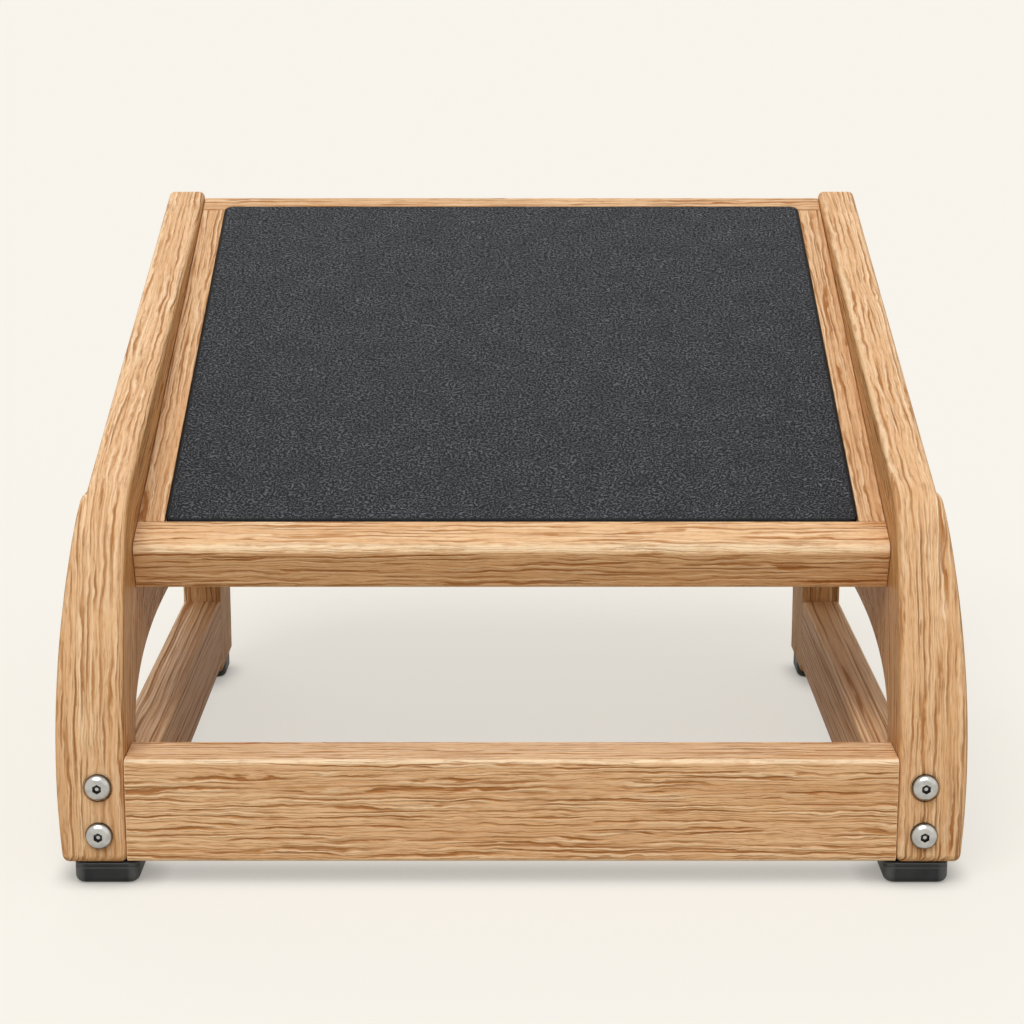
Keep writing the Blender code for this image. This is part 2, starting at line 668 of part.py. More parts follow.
def side_cutters(tag, sign):
    """The bolts' bores, their seats and sleeves, and the mortise of one front leg."""
    shanks = []
    seats = []
    for height in BOLT_HEIGHTS:
        seat = leg_front(height + SPOT_FACE_RADIUS)
        place = (sign * BOLT_X, seat - CUT_CLEARANCE, height)
        shank_start = (sign * BOLT_X, -CUT_CLEARANCE, height)
        shanks.append((shank_start, REARWARD, BOLT_END + CUT_CLEARANCE + GAP, BOLT_RADIUS + HOLE_PLAY))
        seats.append((place, REARWARD, CUT_CLEARANCE, SPOT_FACE_RADIUS))
        sleeve_start = (sign * BOLT_X, MORTISE_BACK - BORE_OVERLAP, height)
        sleeve_reach = SLEEVE_BACK + GAP - sleeve_start[1]
        seats.append((sleeve_start, REARWARD, sleeve_reach, SLEEVE_RADIUS + HOLE_PLAY))
    mouth, end = sorted((sign * (SIDE_INNER_X - BORE_OVERLAP), sign * MORTISE_END_X))
    return (
        rods_cutter("bolt_bores_" + tag, shanks, sides=12),
        rods_cutter("seat_bores_" + tag, seats),
        box("mortise_" + tag, (mouth, MORTISE_FRONT, MORTISE_BOTTOM), (end, MORTISE_BACK, MORTISE_TOP), None),
    )


def button_bolt(name, sign, height):
    """Button-head bolt with a pinned hexagon socket, its head towards the front."""
    seat = leg_front(height + SPOT_FACE_RADIUS) - BOLT_SEAT_GAP
    shank = BOLT_END - seat
    rim = BOLT_RIM
    profile = [(0.0, BOLT_HEAD_HEIGHT), (BOLT_CROWN_RADIUS, BOLT_HEAD_HEIGHT)]
    steps = 4
    for step in range(1, steps + 1):
        angle = math.pi / 2 * step / steps
        radius = BOLT_CROWN_RADIUS + (BOLT_HEAD_RADIUS - BOLT_CROWN_RADIUS) * math.sin(angle)
        profile.append((radius, rim + (BOLT_HEAD_HEIGHT - rim) * math.cos(angle)))
    profile += [
        (BOLT_HEAD_RADIUS, BOLT_EDGE),
        (BOLT_HEAD_RADIUS - BOLT_EDGE, 0.0),
        (BOLT_RADIUS, 0.0),
        (BOLT_RADIUS, BOLT_TIP - shank),
        (BOLT_RADIUS - BOLT_TIP, -shank),
        (0.0, -shank),
    ]
    place = (sign * BOLT_X, seat, height)
    bolt = turned(name, profile, STAINLESS, STAND, place, -REARWARD, steps=20)
    mouth = (sign * BOLT_X, seat - BOLT_HEAD_HEIGHT, height)
    socket_name = "socket_" + name
    cut(bolt, socket_cutter(socket_name, STAND, mouth, -REARWARD, SOCKET_FLATS, SOCKET_DEPTH, SOCKET_PIN_RADIUS))


def sleeve_nut(name, sign, height):
    bore = BOLT_RADIUS + HOLE_PLAY
    profile = [
        (bore, SLEEVE_LENGTH),
        (SLEEVE_RADIUS, SLEEVE_LENGTH),
        (SLEEVE_RADIUS, 0.0),
        (bore, 0.0),
    ]
    turned(name, profile, ZINC, STAND, (sign * BOLT_X, SLEEVE_FRONT, height), REARWARD, 12, closed=True)


def rubber_foot(name, centre, size, screw_bore):
    """Rounded pad, softer at its lower rim, with a hole for its screw's head."""
    half_width = size[0] / 2
    half_length = size[1] / 2
    corners = [
        (-half_width, -half_length, FOOT_CORNER),
        (half_width, -half_length, FOOT_CORNER),
        (half_width, half_length, FOOT_CORNER),
        (-half_width, half_length, FOOT_CORNER),
    ]
    height = LEG_BOTTOM - GAP
    mesh = prism_mesh(name, rounded_outline(corners, 3), height)
    bm = bmesh.new()
    bm.from_mesh(mesh)
    weights = bm.edges.layers.float.new("bevel_weight_edge")
    for edge in bm.edges:
        if edge.calc_face_angle_signed(0.0) > SHARP_ANGLE:
            edge[weights] = 1.0 if edge.verts[0].co.z < 0.0 else 0.25
    bm.to_mesh(mesh)
    bm.free()
    foot = add_object(name, mesh, FOOT_RUBBER, STAND, (*centre, height / 2))
    bevel = foot.modifiers.new("rounded_rim", "BEVEL")
    bevel.width = FOOT_ROUND
    bevel.segments = 2
    bevel.limit_method = "WEIGHT"
    cut(foot, *screw_bore)


def build_side(tag, sign):
    """One side frame with its rail, rear leg, fastenings and feet."""
    side = add_object("side_frame_" + tag, side_frame_mesh("side_frame_" + tag, sign), OAK_SIDE)

    def x_span(inner, outer):
        return sorted((sign * inner, sign * outer))

    rail_low, rail_high = x_span(RAIL_INNER_X, RAIL_OUTER_X)
    rail = box(
        "side_rail_" + tag,
        (rail_low, LEG_DEPTH + GAP, RAIL_BOTTOM),
        (rail_high, REAR_LEG_FRONT - GAP, RAIL_TOP),
        OAK_RAIL,
    )
    round_edges(rail, EDGE_ROUND)

    under = PLATFORM_FRONT[1] - (PLATFORM_THICKNESS + GAP) / math.cos(PLATFORM_SLOPE)
    lean = math.tan(PLATFORM_SLOPE)
    top_front = under + (REAR_LEG_FRONT - PLATFORM_FRONT[0]) * lean
    top_back = under + (REAR_LEG_BACK - PLATFORM_FRONT[0]) * lean
    outline = [
        (REAR_LEG_FRONT, LEG_BOTTOM),
        (REAR_LEG_BACK, LEG_BOTTOM),
        (REAR_LEG_BACK, top_back),
        (REAR_LEG_FRONT, top_front),
    ]
    rear_leg = along_x("rear_leg_" + tag, outline, rail_low, rail_high, OAK_RAIL)
    round_edges(rear_leg, EDGE_ROUND)
    lap_low, lap_high = x_span(SIDE_INNER_X - GAP, RAIL_OUTER_X + CUT_CLEARANCE)
    lap = box(
        "lap_cut_" + tag,
        (lap_low, REAR_LEG_FRONT - CUT_CLEARANCE, ARCH_TOP - GAP),
        (lap_high, REAR_LEG_BACK + CUT_CLEARANCE, ARM_END[1]),
        None,
    )

    bolt_bores, seat_bores, mortise = side_cutters(tag, sign)
    for number, height in enumerate(BOLT_HEIGHTS, 1):
        button_bolt("stretcher_bolt_%s_%d" % (tag, number), sign, height)
        sleeve_nut("sleeve_nut_%s_%d" % (tag, number), sign, height)

    rear_dowel_start = REAR_LEG_FRONT - RAIL_DOWEL_LENGTH / 2
    bores = []
    for number, height in enumerate(RAIL_DOWEL_HEIGHTS, 1):
        for place, start in (("front", (sign * FRONT_DOWEL_X, FRONT_DOWEL_START, height)),
                             ("rear", (sign * RAIL_MIDDLE_X, rear_dowel_start, height))):
            name = "rail_dowel_%s_%s_%d" % (place, tag, number)
            dowel(name, start, REARWARD, RAIL_DOWEL_LENGTH, RAIL_DOWEL_RADIUS)
            bores.append(dowel_bore(start, RAIL_DOWEL_LENGTH, RAIL_DOWEL_RADIUS))
    dowel_bores = rods_cutter("dowel_bores_" + tag, bores, sides=12)

    outward = RIGHTWARD * sign
    lap_depth = (REAR_LEG_FRONT + REAR_LEG_BACK) / 2
    lap_length = RAIL_INSET + LAP_SCREW_BITE
    lap_screws = []
    for number, rise in enumerate(LAP_SCREW_RISES, 1):
        head = (sign * RAIL_INNER_X, lap_depth, ARCH_TOP + rise)
        wood_screw("lap_screw_%s_%d" % (tag, number), head, outward, lap_length)
        lap_screws.append((head, outward, lap_length))
    lap_bores = screw_bores("lap_screw_bores_" + tag, lap_screws)

    cleat_low, cleat_high = x_span(CLEAT_INNER_X, PLATFORM_HALF_WIDTH)
    cleat = box(
        "cleat_" + tag,
        (cleat_low, CLEAT_FRONT, CLEAT_BOTTOM),
        (cleat_high, CLEAT_BACK, CLEAT_TOP),
        OAK_RAIL,
        SLOPE,
    )
    round_edges(cleat, EDGE_ROUND, segments=1)
    cleat_length = CLEAT_BACK - CLEAT_FRONT
    cleat_screws = []
    for number, step in enumerate(CLEAT_SCREW_STEPS, 1):
        place = CLEAT_FRONT + cleat_length * step
        head = (sign * CLEAT_INNER_X, place, (CLEAT_TOP + CLEAT_BOTTOM) / 2)
        screw_length = CLEAT_SIZE + CLEAT_SCREW_BITE
        wood_screw("cleat_screw_%s_%d" % (tag, number), head, outward, screw_length, SLOPE)
        cleat_screws.append((head, outward, screw_length))
    cleat_bores = screw_bores("cleat_screw_bores_" + tag, cleat_screws, SLOPE)
    platform_screws = []
    for number, step in enumerate(PLATFORM_SCREW_STEPS, 1):
        head = (sign * STILE_MIDDLE_X, CLEAT_FRONT + cleat_length * step, CLEAT_BOTTOM)
        screw_length = CLEAT_SIZE + PLATFORM_SCREW_BITE
        wood_screw("platform_screw_%s_%d" % (tag, number), head, UPWARD, screw_length, SLOPE)
        platform_screws.append((head, UPWARD, screw_length))
    platform_bores = screw_bores("platform_screw_bores_" + tag, platform_screws, SLOPE)

    foot_screws = []
    for place, centre, size in (("front", FRONT_FOOT_CENTRE, FRONT_FOOT_SIZE),
                                ("rear", REAR_FOOT_CENTRE, REAR_FOOT_SIZE)):
        centre = (sign * centre[0], centre[1])
        head = (*centre, FOOT_SCREW_SEAT)
        wood_screw("foot_screw_%s_%s" % (place, tag), head, UPWARD, FOOT_SCREW_LENGTH)
        foot_screws.append((head, UPWARD, FOOT_SCREW_LENGTH))
        recess_height = FOOT_SCREW_SEAT + BORE_OVERLAP
        recess = ((*centre, -BORE_OVERLAP), UPWARD, recess_height, FOOT_BORE_RADIUS)
        bore = rods_cutter("foot_bore_%s_%s" % (place, tag), [recess])
        shank = screw_bores("foot_shank_%s_%s" % (place, tag), [foot_screws[-1]])
        rubber_foot("foot_%s_%s" % (place, tag), centre, size, (shank, bore))
    foot_bores = screw_bores("foot_screw_bores_" + tag, foot_screws)

    cut(side, mortise, bolt_bores, seat_bores, dowel_bores, lap_bores, cleat_bores, foot_bores)
    cut(rail, dowel_bores)
    cut(rear_leg, lap, dowel_bores, lap_bores, foot_bores)
    cut(cleat, cleat_bores, platform_bores)
    return bolt_bores, platform_bores


def build_stretcher(bolt_cutters):
    radii = (EDGE_ROUND, EDGE_ROUND, STRETCHER_ROUND, STRETCHER_ROUND)
    outline = bar_outline(0.0, STRETCHER_DEPTH, STRETCHER_BOTTOM, STRETCHER_TOP, radii)
    half = SIDE_INNER_X - GAP
    stretcher = along_x("front_stretcher", outline, -half, half, OAK_RAIL)
    tenon_half = MORTISE_END_X - TENON_END_GAP
    tenon = box(
        "stretcher_tenon",
        (-tenon_half, MORTISE_FRONT + GAP, MORTISE_BOTTOM + GAP),
        (tenon_half, MORTISE_BACK - GAP, MORTISE_TOP - GAP),
        None,
    )
    join = stretcher.modifiers.new("tenons", "BOOLEAN")
    join.operation = "UNION"
    join.object = tenon
    cut(stretcher, *bolt_cutters)


def build_platform(screw_cutters):
    """Birch core lipped with oak, and the mat let in flush with the oak."""
    joint_back = PLATFORM_LENGTH - BACK_RAIL_WIDTH
    half = PLATFORM_HALF_WIDTH
    core_half = half - STILE_WIDTH
    bottom = -PLATFORM_THICKNESS

    mat_front = FRONT_RAIL_WIDTH + GAP
    mat_corners = [
        (-MAT_HALF_WIDTH, mat_front, MAT_CORNER),
        (MAT_HALF_WIDTH, mat_front, MAT_CORNER),
        (MAT_HALF_WIDTH, MAT_BACK, MAT_CORNER),
        (-MAT_HALF_WIDTH, MAT_BACK, MAT_CORNER),
    ]
    mat_mesh = prism_mesh("rubber_mat", rounded_outline(mat_corners, 5), MAT_THICKNESS)
    mat = add_object("rubber_mat", mat_mesh, MAT_RUBBER, SLOPE, (0.0, 0.0, MAT_PROUD - MAT_THICKNESS / 2))
    round_edges(mat, MAT_ROUND)

    recess_half = MAT_HALF_WIDTH + RECESS_PLAY
    recess_back = MAT_BACK + RECESS_PLAY
    recess_round = MAT_CORNER + RECESS_PLAY
    recess_corners = [
        (-recess_half, 0.0, 0.0),
        (recess_half, 0.0, 0.0),
        (recess_half, recess_back, recess_round),
        (-recess_half, recess_back, recess_round),
    ]
    recess_height = RECESS_FLOOR + CUT_CLEARANCE
    recess_mesh = prism_mesh("mat_recess", rounded_outline(recess_corners, 5), recess_height)
    recess = add_object("mat_recess", recess_mesh, None, SLOPE, (0.0, 0.0, recess_height / 2 - RECESS_FLOOR))

    front_radii = (STRETCHER_ROUND, EDGE_ROUND, JOINT_ROUND, NOSE_ROUND)
    front_outline = bar_outline(0.0, FRONT_RAIL_WIDTH - GAP, bottom, 0.0, front_radii)
    front_rail = along_x("platform_front_rail", front_outline, -half, half, OAK_PLATFORM, SLOPE)
    back_radii = (EDGE_ROUND, STRETCHER_ROUND, STRETCHER_ROUND, JOINT_ROUND)
    back_outline = bar_outline(joint_back + GAP, PLATFORM_LENGTH, bottom, 0.0, back_radii)
    back_rail = along_x("platform_back_rail", back_outline, -half, half, OAK_PLATFORM, SLOPE)
    box(
        "platform_core",
        (-core_half + GAP, FRONT_RAIL_WIDTH + GAP, -RECESS_FLOOR - CORE_THICKNESS),
        (core_half - GAP, joint_back - GAP, -RECESS_FLOOR),
        BIRCH_CORE,
        SLOPE,
    )
    front_dowel_start = FRONT_RAIL_WIDTH - CORNER_DOWEL_HOLD
    back_dowel_start = joint_back - CORNER_DOWEL_HOLD
    for (tag, sign), screw_bore in zip(SIDES, screw_cutters):
        low, high = sorted((sign * core_half, sign * half))
        stile = box(
            "platform_stile_" + tag,
            (low, FRONT_RAIL_WIDTH, bottom),
            (high, joint_back, 0.0),
            OAK_PLATFORM,
            SLOPE,
        )
        round_edges(stile, STILE_ROUND)
        bores = []
        for place, start, length in (("front", front_dowel_start, FRONT_CORNER_DOWEL_LENGTH),
                                     ("back", back_dowel_start, BACK_CORNER_DOWEL_LENGTH)):
            spot = (sign * STILE_MIDDLE_X, start, -CORNER_DOWEL_DEPTH)
            dowel("corner_dowel_%s_%s" % (place, tag), spot, REARWARD, length, CORNER_DOWEL_RADIUS, SLOPE)
            bores.append(dowel_bore(spot, length, CORNER_DOWEL_RADIUS))
        corner_bores = rods_cutter("corner_bores_" + tag, bores, SLOPE, sides=12)
        cut(stile, recess, corner_bores, screw_bore)
        cut(front_rail, corner_bores)
        cut(back_rail, corner_bores)
    cut(back_rail, recess)


bolt_cutters = []
screw_cutters = []
for side_tag, side_sign in SIDES:
    bolt_cutter, screw_cutter = build_side(side_tag, side_sign)
    bolt_cutters.append(bolt_cutter)
    screw_cutters.append(screw_cutter)
build_stretcher(bolt_cutters)
build_platform(screw_cutters)
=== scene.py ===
"""Looks of the sloping oak footrest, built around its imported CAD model."""

import math

import bmesh
import bpy
from mathutils import Matrix, Vector
from mathutils.geometry import delaunay_2d_cdt


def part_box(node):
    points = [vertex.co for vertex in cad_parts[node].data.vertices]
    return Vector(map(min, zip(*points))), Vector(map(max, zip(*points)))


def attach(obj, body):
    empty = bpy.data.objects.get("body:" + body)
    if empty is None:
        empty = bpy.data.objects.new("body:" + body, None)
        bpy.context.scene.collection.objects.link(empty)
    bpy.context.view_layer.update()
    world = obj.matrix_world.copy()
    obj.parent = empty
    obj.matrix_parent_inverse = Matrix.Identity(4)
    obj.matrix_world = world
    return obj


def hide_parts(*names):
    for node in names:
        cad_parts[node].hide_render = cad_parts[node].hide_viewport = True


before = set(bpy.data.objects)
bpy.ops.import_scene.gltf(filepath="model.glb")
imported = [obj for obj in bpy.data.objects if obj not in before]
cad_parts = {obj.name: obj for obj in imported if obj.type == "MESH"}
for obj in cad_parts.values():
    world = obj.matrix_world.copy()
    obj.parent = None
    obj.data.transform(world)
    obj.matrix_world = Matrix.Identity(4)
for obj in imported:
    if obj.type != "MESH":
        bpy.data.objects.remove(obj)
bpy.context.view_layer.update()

MM = 0.001

# Camera, fitted to the edges in the photograph.
IMAGE_SIZE = 1024
SENSOR_WIDTH = 36.0
FOCAL_PIXELS = 2500.0
CENTRE_PIXEL_X = 511.5
CAMERA_PLACE = (0.0, -1.4036, 0.474)
CAMERA_PITCH = math.radians(13.1)
CAMERA_FAR_CLIP = 200.0

# Light. Together the sky and the three lamps light a level white surface to about white.
SKY_ZENITH = (0.40, 0.388, 0.372)
SKY_HORIZON = (0.28, 0.262, 0.215)
LAMPS = (    # name, direction, strength and softness in degrees
    ("key", (0.18, 0.66, -1.0), 2.02, 44),
    ("fill", (-0.75, 0.75, -0.75), 0.20, 60),
    ("back", (0.25, -0.85, -0.60), 0.55, 60),
)
FLOOR_REACH = 60.0
FLOOR_ALBEDO = (0.43, 0.355, 0.235)
FLOOR_SEEN = (0.931, 0.903, 0.838)
FLOOR_SHADOW_SHARE = 0.34
# Painted contact shadow on the floor: its reach and how dark it gets.
PAINTED_CONTACT_REACH = 16.0 * MM
PAINTED_CONTACT_DARKNESS = 0.50

# Sizes of the CAD model, in millimetres times MM. Depths are from the front of the legs.
DEPTH_SHIFT = 206.2 * MM
LEG_BOTTOM = 11.5 * MM
SIDE_INNER_X = 195.7 * MM
PANEL_OUTER_X = 218.0 * MM
LEG_DEPTH = 46.5 * MM
LEG_CURVE_RADIUS = 337.0 * MM
LEG_CURVE_START = 27.0 * MM
BEND = Vector((42.0 * MM, 192.0 * MM))
BEND_DROP = 22.0 * MM
BEND_RUN_ON_ARM = 18.0 * MM
ARM_END = Vector((404.0 * MM, 312.6 * MM))
ARM_END_DROP = 35.0 * MM
ARM_END_ROUND = 4.2 * MM
PANEL_FOOT = Vector((397.0 * MM, 106.6 * MM))
PANEL_HEEL_ROUND = 14.0 * MM
PANEL_FOOT_ROUND = 10.0 * MM
LEG_FOOT_ROUND = 5.0 * MM
SIDE_ROUND = 3.4 * MM
ARCH_SPRING = 59.0 * MM
ARCH_TOP = 106.6 * MM
ARCH_REACH = 144.25 * MM
ARCH_CENTRE = 190.75 * MM
ARCH_FULLNESS = 2.8
SWELL_PROUD = 12.5 * MM
SWELL_HEIGHT = 68.0 * MM
SHOULDER_STEP = 2.2 * MM
SHOULDER_BEND_STEP = 0.7
NOTCH_HEIGHT = 3.5 * MM
THUMB_START = 4.0 * MM
THUMB_LOW = (9.5 * MM, 11.4 * MM)
THUMB_HIGH = (46.0 * MM, -24.0 * MM)
THUMB_TIP = 7.0 * MM
THUMB_BAND = 5.0 * MM
PLATFORM_FRONT = (51.6 * MM, 164.5 * MM)
PLATFORM_SLOPE = math.atan2(308.4 - 164.5, 404.0 - 51.6)
PLATFORM_LENGTH = 380.645 * MM
PLATFORM_THICKNESS = 27.0 * MM
FRONT_RAIL_WIDTH = 23.4 * MM
BACK_RAIL_START = 362.745 * MM
STILE_START = 23.7 * MM
STILE_END = 362.445 * MM
MAT_FRONT = 24.0 * MM
MAT_BACK = 366.745 * MM
MAT_HALF_WIDTH = 181.0 * MM
MAT_PROUD = 0.4 * MM
MAT_CORNER = 5.0 * MM
MAT_ROUND = 1.1 * MM
RECESS_FLOOR = 3.9 * MM
RECESS_HALF_WIDTH = 181.5 * MM
RECESS_BACK = 367.245 * MM
RECESS_ROUND = 5.5 * MM
RAIL_INNER_X = 185.0 * MM
RAIL_OUTER_X = 208.5 * MM
BOLT_HEAD_RADIUS = 7.0 * MM
BOLT_HEAD_HEIGHT = 4.4 * MM
BOLT_CROWN_RADIUS = 2.9 * MM
# Painted shade: a dark ring outside this radius of a bolt head, and a faint darkening of its lower side.
BOLT_RIM_SHADE_START = 6.2 * MM
BOLT_LOW_PAINTED_SHADE = 0.12
BOLT_RADIUS = 4.0 * MM
SPOT_FACE_RADIUS = 7.7 * MM
SOCKET_RADIUS = 2.54 * MM
SOCKET_DEPTH = 2.6 * MM
SOCKET_PIN_RADIUS = 0.9 * MM
SOCKET_PIN_RECESS = 0.8 * MM
BOLT_RIM_HEIGHT = 0.75 * MM
BOLT_TIP_CHAMFER = 0.6 * MM
JOINT_GAP = 0.3 * MM
END_ROUND = 0.5 * MM
CUT_ALLOWANCE = 20.0 * MM
STRETCHER_LOW = (0.0, 12.6 * MM)
STRETCHER_HIGH = (31.0 * MM, 67.0 * MM)
STRETCHER_ROUNDS = (2.4 * MM, 2.0 * MM, 2.4 * MM, 2.6 * MM)
TENON_LOW = (9.3 * MM, 18.9 * MM)
TENON_HIGH = (21.7 * MM, 60.7 * MM)
TENON_HALF_LENGTH = 222.0 * MM
TENON_END_ROUND = 0.8 * MM
SIDE_RAIL_ROUND = 2.2 * MM
REAR_LEG_ROUND = 2.0 * MM
REAR_LEG_EDGE_ROUND = 1.9 * MM
NOSE_ROUNDS = (3.4 * MM, 2.0 * MM, 0.7 * MM, 5.2 * MM)
BACK_RAIL_ROUNDS = (2.0 * MM, 3.0 * MM, 3.2 * MM, 0.7 * MM)
STILE_WIDTH = 18.0 * MM
STILE_ROUND = 0.8 * MM
MAT_THICKNESS = 4.0 * MM
MAT_LOW_ROUND = 0.6 * MM
FOOT_CORNER = 6.0 * MM
FOOT_RIM = 3.6 * MM
FOOT_GROOVE_DROP = 2.3 * MM
FOOT_BORE_RADIUS = 4.6 * MM
FOOT_BORE_DEPTH = 3.0 * MM
FOOT_SHANK_RADIUS = 2.2 * MM

SIDES = (("left", -1), ("right", 1))


# Places. Each takes two coordinates of an outline and an offset square to it.

def upright(depth, height, width):
    return Vector((width, depth - DEPTH_SHIFT, height))


def lengthwise(width, height, depth):
    return Vector((width, depth - DEPTH_SHIFT, height))


def standing(width, depth, height):
    return Vector((width, depth - DEPTH_SHIFT, height))


def on_slope(run, rise, width):
    """Run up the platform's slope and rise square to it."""
    cosine = math.cos(PLATFORM_SLOPE)
    sine = math.sin(PLATFORM_SLOPE)
    depth = PLATFORM_FRONT[0] + run * cosine - rise * sine
    height = PLATFORM_FRONT[1] + run * sine + rise * cosine
    return Vector((width, depth - DEPTH_SHIFT, height))


def stile_slope(width, rise, run):
    return on_slope(run, rise, width)


def mat_slope(width, run, rise):
    return on_slope(run, rise, width)


# Bodies made of rings round an outline.

def rounded_outline(corners, steps=6):
    """Arcs for (u, v, radius) corners, as points with the share of painted highlight and wear that an edge
    there gets.
    """
    outline = []
    count = len(corners)
    for index, (u, v, radius) in enumerate(corners):
        here = Vector((u, v))
        before = (Vector(corners[index - 1][:2]) - here).normalized()
        after = (Vector(corners[(index + 1) % count][:2]) - here).normalized()
        if radius == 0.0:
            outline.append((here, 0.0))
            continue
        half = before.angle(after) / 2
        centre = here + (before + after).normalized() * (radius / math.sin(half))
        start = here + before * (radius / math.tan(half)) - centre
        end = here + after * (radius / math.tan(half)) - centre
        sweep = start.angle_signed(end)
        for step in range(steps + 1):
            turned = start.copy()
            turned.rotate(Matrix.Rotation(-sweep * step / steps, 2))
            # The middle of each arc gets the most painted highlight and wear.
            outline.append((centre + turned, math.sin(math.pi * step / steps)))
    return outline


def clockwise(outline):
    area = sum(a[0].cross(b[0]) for a, b in zip(outline, outline[1:] + outline[:1]))
    return outline if area < 0 else outline[::-1]


def inset(points, distance):
    """The same loop, moved inwards by a distance."""
    loop = []
    for index, here in enumerate(points):
        before = (here - points[index - 1]).normalized()
        after = (points[(index + 1) % len(points)] - here).normalized()
        inward = Vector((before.y + after.y, -before.x - after.x)).normalized()
        loop.append(here + inward * (distance / inward.dot(Vector((before.y, -before.x)))))
    return loop


def quarter_turns(steps):
    return [math.pi / 2 * step / steps for step in range(steps + 1)]


def edge_rings(low, high, low_round, high_round, steps=5):
    """Rings (inset, offset, share of painted highlight and wear) of a prism whose two end edges are rounded.
    """
    stages = [(low, low_round, 1, turn) for turn in reversed(quarter_turns(steps))]
    stages += [(high, high_round, -1, turn) for turn in quarter_turns(steps)]
    rings = []
    for level, radius, way, turn in stages:
        sunk = radius * (1 - math.sin(turn))
        # The middle of each rounded edge gets the most painted highlight and wear.
        rings.append((radius * (1 - math.cos(turn)), level + way * sunk, math.sin(2 * turn)))
    return rings


def join_loops(bm, loops):
    count = len(loops[0])
    for low, high in zip(loops, loops[1:]):
        for index in range(count):
            following = (index + 1) % count
            bm.faces.new((low[index], low[following], high[following], high[index]))


def ring_body(outline, rings, place):
    """Closed body from an outline, each of whose rings is an inset, an offset and a share of painted
    highlight and wear.
    """
    outline = clockwise(outline)
    bm = bmesh.new()
    # Each vertex holds its share of painted edge highlight and wear.
    painted_light_and_wear = bm.verts.layers.float.new("painted_light_and_wear")
    loops = []
    for distance, offset, ring_light_and_wear in rings:
        points = inset([point for point, _ in outline], distance)
        loop = []
        for point, (_, corner_light_and_wear) in zip(points, outline):
            vert = bm.verts.new(place(point.x, point.y, offset))
            vert[painted_light_and_wear] = max(ring_light_and_wear, corner_light_and_wear)
            loop.append(vert)
        loops.append(loop)
    join_loops(bm, loops)
    bm.faces.new(loops[0])
    bm.faces.new(loops[-1])
    bmesh.ops.recalc_face_normals(bm, faces=bm.faces)
    return bm


def make_object(name, bm, material):
    mesh = bpy.data.meshes.new(name)
    bm.to_mesh(mesh)
    bm.free()
    obj = bpy.data.objects.new(name, mesh)
    bpy.context.scene.collection.objects.link(obj)
    if material is not None:
        mesh.materials.append(material)
    return obj


def cut_out(obj, cutters):
    """Cuts shapes out of a piece and removes them."""
    for cutter in cutters:
        boolean = obj.modifiers.new("cut", "BOOLEAN")
        boolean.operation = "DIFFERENCE"
        boolean.object = cutter
    settle(obj)
    for cutter in cutters:
        bpy.data.objects.remove(cutter)


def settle(obj):
    """Makes the result of a piece's modifiers its own mesh."""
    evaluated = obj.evaluated_get(bpy.context.evaluated_depsgraph_get())
    mesh = bpy.data.meshes.new_from_object(evaluated)
    obj.modifiers.clear()
    old = obj.data
    name = old.name
    obj.data = mesh
    bpy.data.meshes.remove(old)
    mesh.name = name


SMOOTH_ANGLE = math.radians(50)


def finish_piece(obj, node):
    """Smooth shading that keeps flat faces flat, and the piece's place in the model."""
    obj.data.shade_smooth()
    obj.data.set_sharp_from_angle(angle=SMOOTH_ANGLE)
    weighted = obj.modifiers.new("flat_faces_stay_flat", "WEIGHTED_NORMAL")
    weighted.keep_sharp = True
    settle(obj)
    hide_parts(node)
    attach(obj, "root")
    return obj


def rod(name, start, direction, length, radius, sides):
    """A round or many-sided cutter from a point along a direction."""
    bm = bmesh.new()
    turn = Vector((0.0, 0.0, 1.0)).rotation_difference(Vector(direction)).to_matrix().to_4x4()
    middle = Vector(start) + Vector(direction) * length / 2
    bmesh.ops.create_cone(
        bm,
        cap_ends=True,
        segments=sides,
        radius1=radius,
        radius2=radius,
        depth=length,
        matrix=Matrix.Translation(middle) @ turn,
    )
    return make_object(name, bm, None)


# Side frame.

def leg_front(height):
    rise = max(0.0, height - LEG_CURVE_START)
    return LEG_CURVE_RADIUS - math.sqrt(LEG_CURVE_RADIUS ** 2 - rise ** 2)


def bezier(points, step):
    points = [Vector(point) for point in points]
    while len(points) > 1:
        points = [a.lerp(b, step) for a, b in zip(points, points[1:])]
    return points[0]


def bend_point(step):
    start_height = BEND.y - BEND_DROP
    start = Vector((leg_front(start_height), start_height))
    end = BEND + (ARM_END - BEND).normalized() * BEND_RUN_ON_ARM
    return bezier((start, BEND, end), step)


def arch_point(angle):
    power = 2 / ARCH_FULLNESS
    turn = math.radians(angle)
    depth = ARCH_CENTRE - ARCH_REACH * max(0.0, math.cos(turn)) ** power
    return (depth, ARCH_SPRING + (ARCH_TOP - ARCH_SPRING) * math.sin(turn) ** power)


def ease(value):
    value = min(1.0, max(0.0, value))
    return value * value * (3 - 2 * value)


def round_start(value):
    """Goes from nought to one, steep at first, like the top of a ball."""
    value = min(1.0, max(0.0, value))
    return math.sqrt(1 - (1 - value) ** 2)


THUMB_STEPS = 60
SHOULDER = bend_point(SHOULDER_BEND_STEP)
SWELL_REACH = (SHOULDER.y - SWELL_HEIGHT) / math.sqrt(1 - SHOULDER_STEP / SWELL_PROUD)
THUMB_POINTS = (
    (LEG_DEPTH + THUMB_START, ARCH_SPRING),
    (LEG_DEPTH + THUMB_LOW[0], ARCH_TOP + THUMB_LOW[1]),
    (BEND.x + THUMB_HIGH[0], BEND.y + THUMB_HIGH[1]),
    (SHOULDER.x + THUMB_TIP, SHOULDER.y),
)
THUMB_CURVE = [bezier(THUMB_POINTS, step / THUMB_STEPS) for step in range(THUMB_STEPS + 1)]


